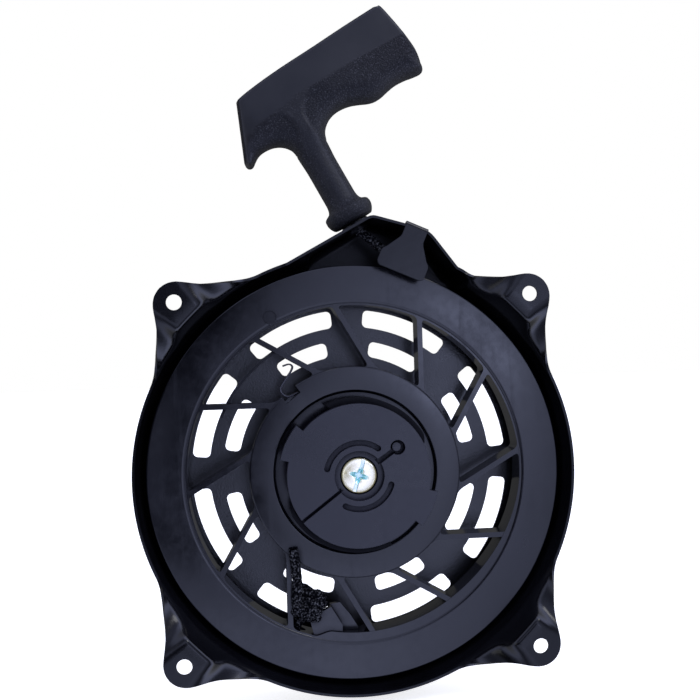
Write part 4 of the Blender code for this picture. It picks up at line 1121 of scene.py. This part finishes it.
def grip_height(du, dw, soft_gap, crisp_gap):
    """Half thickness of the grip, and how much of the smooth finish it has there; below zero it
    marks a band of painted shade along the crisp edges.
    """
    bar = smooth_step((dw - 36) / 13)
    limit = curve_value(STEM_HALF, dw) if dw < 40.6 else 8
    stem = sqrt(max(limit ** 2 - min(abs(du), limit) ** 2, 0))
    edge = curve_value(PANEL_EDGE, du)
    above = dw - edge
    panel = smooth_step(above / 0.6 + 0.5)
    spine_half = curve_value(SPINE_HALF, dw)
    spine = smooth_step((spine_half - abs(du - 0.3)) / 0.9 + 0.5) * smooth_step((dw - 11) / 3)
    full = 11 - 0.2 * max(above, 0) - 0.01 * max(du - 10, 0) ** 1.2
    full -= 0.9 * smooth_step((-du - 6) / 20)
    scoop = smooth_step(-above / 5) * (1 - spine) * smooth_step((22 - abs(du)) / 12)
    full -= 1.3 * scoop * bar
    share = min(soft_gap / 9.5, 1)
    body = full * sqrt(max(1 - (1 - share) ** 2.2, 0))
    crisp = min(crisp_gap / 1.6, 1)
    body *= (0.72 + 0.28 * crisp ** 0.5) * smooth_step(crisp_gap / 0.6 + 0.05)
    height = stem * (1 - bar) + max(body, stem * (1 - bar)) * bar
    # Painted shade: within about a millimetre of the crisp outline the zone drops towards -1.
    inside = smooth_step((crisp_gap - 0.9) / 0.5)
    return height, max(panel, 0.55 * spine) * inside - (1 - inside)


def rope_bore(radius, low, high):
    """A tool that bores along the rope."""
    bore = lathe("tool", [(0, low), (radius, low), (radius, high), (0, high)], 32)
    bore.data.transform(Y_TO_Z)
    return bore


def build_grip():
    """A height field over the silhouette, mirrored to the back."""
    outline, crisp_side, soft_side = grip_silhouette()
    pitch = 0.9
    low, high = outline.min(0), outline.max(0)
    grid = np.array([(x, y) for x in np.arange(low[0], high[0], pitch)
        for y in np.arange(low[1], high[1], pitch)])
    grid = grid[inside_outline(grid, outline)]
    grid = grid[outline_distance(grid, outline) > 2.4]
    along = np.roll(outline, -1, axis=0) - np.roll(outline, 1, axis=0)
    along /= np.hypot(along[:, 0], along[:, 1])[:, None]
    inward = np.column_stack((along[:, 1], -along[:, 0]))
    bands = []
    for depth in (0.12, 0.4, 0.85, 1.4, 2):
        ring = outline + inward * depth
        ring = ring[inside_outline(ring, outline)]
        ring = ring[outline_distance(ring, outline) > depth * 0.97]
        bands.append(ring)
    points = np.vstack([outline] + bands + [grid])
    boundary = [(i, (i + 1) % len(outline)) for i in range(len(outline))]
    flat, _, triangles, *_ = delaunay_2d_cdt([Vector(p) for p in points], boundary, [], 1, 1e-5)
    flat = np.array([tuple(p) for p in flat])
    soft_gaps = outline_distance(flat, soft_side, closed=False)
    crisp_gaps = outline_distance(flat, crisp_side, closed=False)
    on_edge = np.minimum(soft_gaps, crisp_gaps) < 1e-3
    verts, front, back, zones = [], [], [], []
    for number, (du, dw) in enumerate(flat):
        height, zone = grip_height(du, dw, soft_gaps[number], crisp_gaps[number])
        if dw < 2.6:
            height *= sqrt(max(0, 1 - max(0, 2.6 - dw) ** 2 / 3))
        front.append(len(verts))
        verts.append((du, -height if not on_edge[number] else 0, dw))
        zones.append(zone)
        if on_edge[number]:
            back.append(front[-1])
        else:
            back.append(len(verts))
            verts.append((du, height, dw))
            zones.append(zone)
    faces = [[front[i] for i in tri] for tri in triangles]
    faces += [[back[i] for i in reversed(tri)] for tri in triangles]
    grip = make_piece("pull_handle", verts, faces, GRIP_PLASTIC, 60)
    attribute = grip.data.attributes.new("finish_zone_and_edge_shade", "FLOAT", "POINT")
    attribute.data.foreach_set("value", np.array(zones, np.float32))
    corners = ((4.8, 65.8), (-4.8, 65.8), (-4.8, 56.2), (4.8, 56.2))
    pocket = [point for quarter, corner in enumerate(corners)
        for point in arc(2.2, 90 * quarter, 90 * quarter + 90, 5, corner)]
    cut(grip, rope_bore(2.8, -2, 58), drill(pocket, -6.5, 14))
    grip.data.transform(PULL_FRAME)
    finish_shading(grip, 60)
    place(grip, "handle", "grip_plastic", "grip")


def in_pull_frame(points):
    """Points given along the pull axis, moved to the pieces' own frame."""
    return [tuple((PULL_FRAME @ (Vector(p) * MM)) / MM) for p in points]


def build_grip_inside():
    insert = prism("grip_seat_plate", [(-6.5, 54.3), (6.5, 54.3), (6.5, 55.9), (-6.5, 55.9)], -6,
        6, STEEL)
    cut(insert, rope_bore(2.6, 50, 60))
    soften(insert, 0.25, angle=40)
    insert.data.transform(PULL_FRAME)
    place(insert, "handle", "plain_steel", "grip_insert")
    loop = [(0, 0, 44), (0, 0, 52), (0.2, 0.4, 57.5)]
    for step in range(14):
        loop.append((*polar(2.9, 360 * step / 6.5), 58.6 + 4.6 * step / 13))
    loop += [(0.4, 2.6, 65), (0.5, 3.5, 65.3), (0.6, 4.1, 65)]
    knot = braid("handle_knot", in_pull_frame(loop), 2.05, CORD)
    place(knot, "rope_end", "braided_rope", "grip_knot", "grip_rope")


# ---- rope

def build_rope():
    points = [polar(87.2, 50)]
    points += [pull_point(GRIP_OFFSET + across, EYELET_FACE + out)
        for across, out in ((1.6, -6.2), (0.35, -4.4), (0, -2.6), (0, 0.4))]
    lead = braid("rope_run", [(x, ROPE_PLANE, z) for x, z in points], 2.2, CORD)
    place(lead, "cover", "braided_rope", "rope_lead")

    frames = path_frames(in_pull_frame([(0, 0, 0.2 + 44.8 * s / 90) for s in range(91)]))
    pulled = shell_piece("rope_pulled_out", [tube(frames, round_section(2.15, 16))], WOUND_CORD,
        60)
    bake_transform(pulled)

    end = polar(79.6, KNOT_ANGLE)
    centre = Vector((-23.4, 23, -58.5))
    inward = Vector((0.25, 0, 1)).normalized()
    side = DEPTH.cross(inward).normalized()
    points = [(end[0], GROOVE_DEPTH, end[1]), centre - inward * 10.5 + Vector((-2.5, 2, 0)),
        centre - inward * 5 + DEPTH, centre + inward * 4]
    # Hitches of the stopper knot, a little uneven.
    turns, steps = 3.6, 32
    for step in range(steps):
        share = step / (steps - 1)
        angle = radians(360 * turns * share + 150)
        wrap = 6.6 + 0.5 * sin(step * 1.9) - 2.2 * abs(share - 0.45)
        shift = 5.6 - 11.6 * share + 0.5 * sin(step * 2.3)
        points.append(centre + inward * shift + side * wrap * cos(angle)
            + DEPTH * wrap * 0.66 * sin(angle))
    points += [(-27.8, 16.6, -60.5), (-28.7, 15.2, -54.5), (-28.2, 15.2, -48.5),
        (-28.5, 16.2, -42), (-29, 16.8, -37), (-29.4, 16.9, -33.6)]
    knot = braid("stopper_knot", points, 2.3, CORD)
    place(knot, "pulley_drum", "braided_rope", "rope_knot")


# ---- CAD pieces kept

def dress_cad_nodes():
    for node, material in (("thrust_washer", STEEL), ("spring_cover", STEEL),
            ("friction_spring", SPRING_STEEL), ("rope_coil", WOUND_CORD)):
        mesh = frame["nodes"][node].data
        mesh.materials.clear()
        mesh.materials.append(material)


# ---- studio

def build_floor():
    size, level = 6, CAD_BOX[0][2] - 0.004
    mesh = bpy.data.meshes.new("floor")
    mesh.from_pydata([(x * size, y * size, level) for x, y in ((-1, -1), (1, -1), (1, 1),
        (-1, 1))], [], [[0, 1, 2, 3]])
    floor = add_object("floor", mesh)
    shader = Shader("pale_floor", (0.86, 0.86, 0.86), 0.9)
    shader.set("Emission Color", (1, 1, 1))
    shader.set("Emission Strength", 0.75)
    mesh.materials.append(shader.material)
    floor.visible_glossy = False
    floor.visible_diffuse = False


def build_world():
    """White surroundings; seen in reflections, the camera's side is mostly dim."""
    world = bpy.data.worlds.new("studio")
    bpy.context.scene.world = world
    world.use_nodes = True
    graph = Graph(world.node_tree)
    graph.tree.nodes.clear()
    node, plus, times = graph.node, graph.plus, graph.times
    direction = node("TexCoord").outputs["Generated"]
    across, ahead, up = node("SeparateXYZ", {0: direction}).outputs

    def ranged(*values):
        return graph.spread(*values, interpolation_type="SMOOTHSTEP")

    def less(first, second):
        return graph.maths("SUBTRACT", first, second)

    behind = ranged(ahead, -0.25, 0.25)
    shade = times(ranged(across, 0.07, -0.03), ranged(up, -0.25, -0.17))
    shade = times(shade, ranged(up, 0.14, 0.3, 1, 0))
    front = times(ranged(ahead, -0.9, -0.68, 1.32, 0.36), less(1, times(shade, 0.985)))
    front = times(front, ranged(across, 0.19, 0.26, 1, 0.8))
    # Soft round glows in front of the object: direction across and up, width, level.
    for x, z, width, level in ((0.22, 0.015, 0.06, 3.9), (-0.12, -0.07, 0.04, 1.1),
            (0.17, -0.1, 0.05, 0.5), (0.06, -0.29, 0.1, 0.8), (0, 0.75, 0.3, 0.45)):
        offsets = [graph.maths("DIVIDE", less(axis, at), width)
            for axis, at in ((across, x), (up, z))]
        away = plus(*(times(offset, offset) for offset in offsets))
        glow = graph.maths("POWER", 2.718, times(away, -1))
        front = plus(front, times(glow, level))
    front = plus(front, times(ranged(ahead, -0.6, -0.3), ranged(across, -0.45, 0.15, 1.3, 3)))
    strength = plus(times(behind, ranged(ahead, 0.82, 0.94, 0.45, 0.1)),
        times(less(1, behind), front))
    tint = graph.mix(behind, (0.6, 0.66, 1), (0.95, 0.96, 1))
    seen = node("Background", {"Color": (1, 1, 1), "Strength": 1})
    reflected = node("Background", {"Color": tint, "Strength": strength})
    mixed = node("MixShader", {0: node("LightPath").outputs["Is Camera Ray"],
        1: reflected.outputs[0], 2: seen.outputs[0]})
    node("OutputWorld", {0: mixed.outputs[0]})


def area_light(name, location, target, size, power):
    data = bpy.data.lights.new(name, "AREA")
    data.shape = "RECTANGLE"
    data.size, data.size_y = size
    data.energy = power
    lamp = add_object(name, data)
    lamp.location = location
    direction = Vector(target) - Vector(location)
    lamp.rotation_euler = direction.to_track_quat("-Z", "Y").to_euler()


def build_lights():
    area_light("key", (0.45, -0.6, 0.85), (0, 0, 0.1), (0.3, 0.25), 1.6)
    area_light("fill", (-0.7, -0.55, 0.2), (0, 0, 0.15), (0.25, 0.5), 0.35)


def build_camera():
    """The photograph's viewpoint: close, almost square on."""
    turn = Euler(tuple(radians(a) for a in (-0.47, 5.53, 1.72)), "XYZ").to_matrix().to_4x4()
    swap = Matrix(((1, 0, 0, 0), (0, 0, 1, 0), (0, -1, 0, 0), (0, 0, 0, 1)))
    shift = Matrix.Translation(Vector((4.5, -55.2, -438.1)) * MM)
    data = bpy.data.cameras.new("camera")
    data.sensor_width = 36
    data.lens = 51.8
    data.clip_start = 0.01
    camera = add_object("camera", data)
    camera.matrix_world = Matrix.Translation(DATUM) @ (shift @ turn @ swap).inverted()
    bpy.context.scene.camera = camera


def main():
    for build in (build_housing, build_rope_guard, build_pulley, build_recoil_spring, build_plate,
            build_pawls, build_screw, build_post, build_eyelet, build_grip, build_grip_inside,
            build_rope, dress_cad_nodes, build_floor, build_world, build_lights, build_camera):
        build()
    bpy.context.scene.view_settings.view_transform = "Standard"


main()
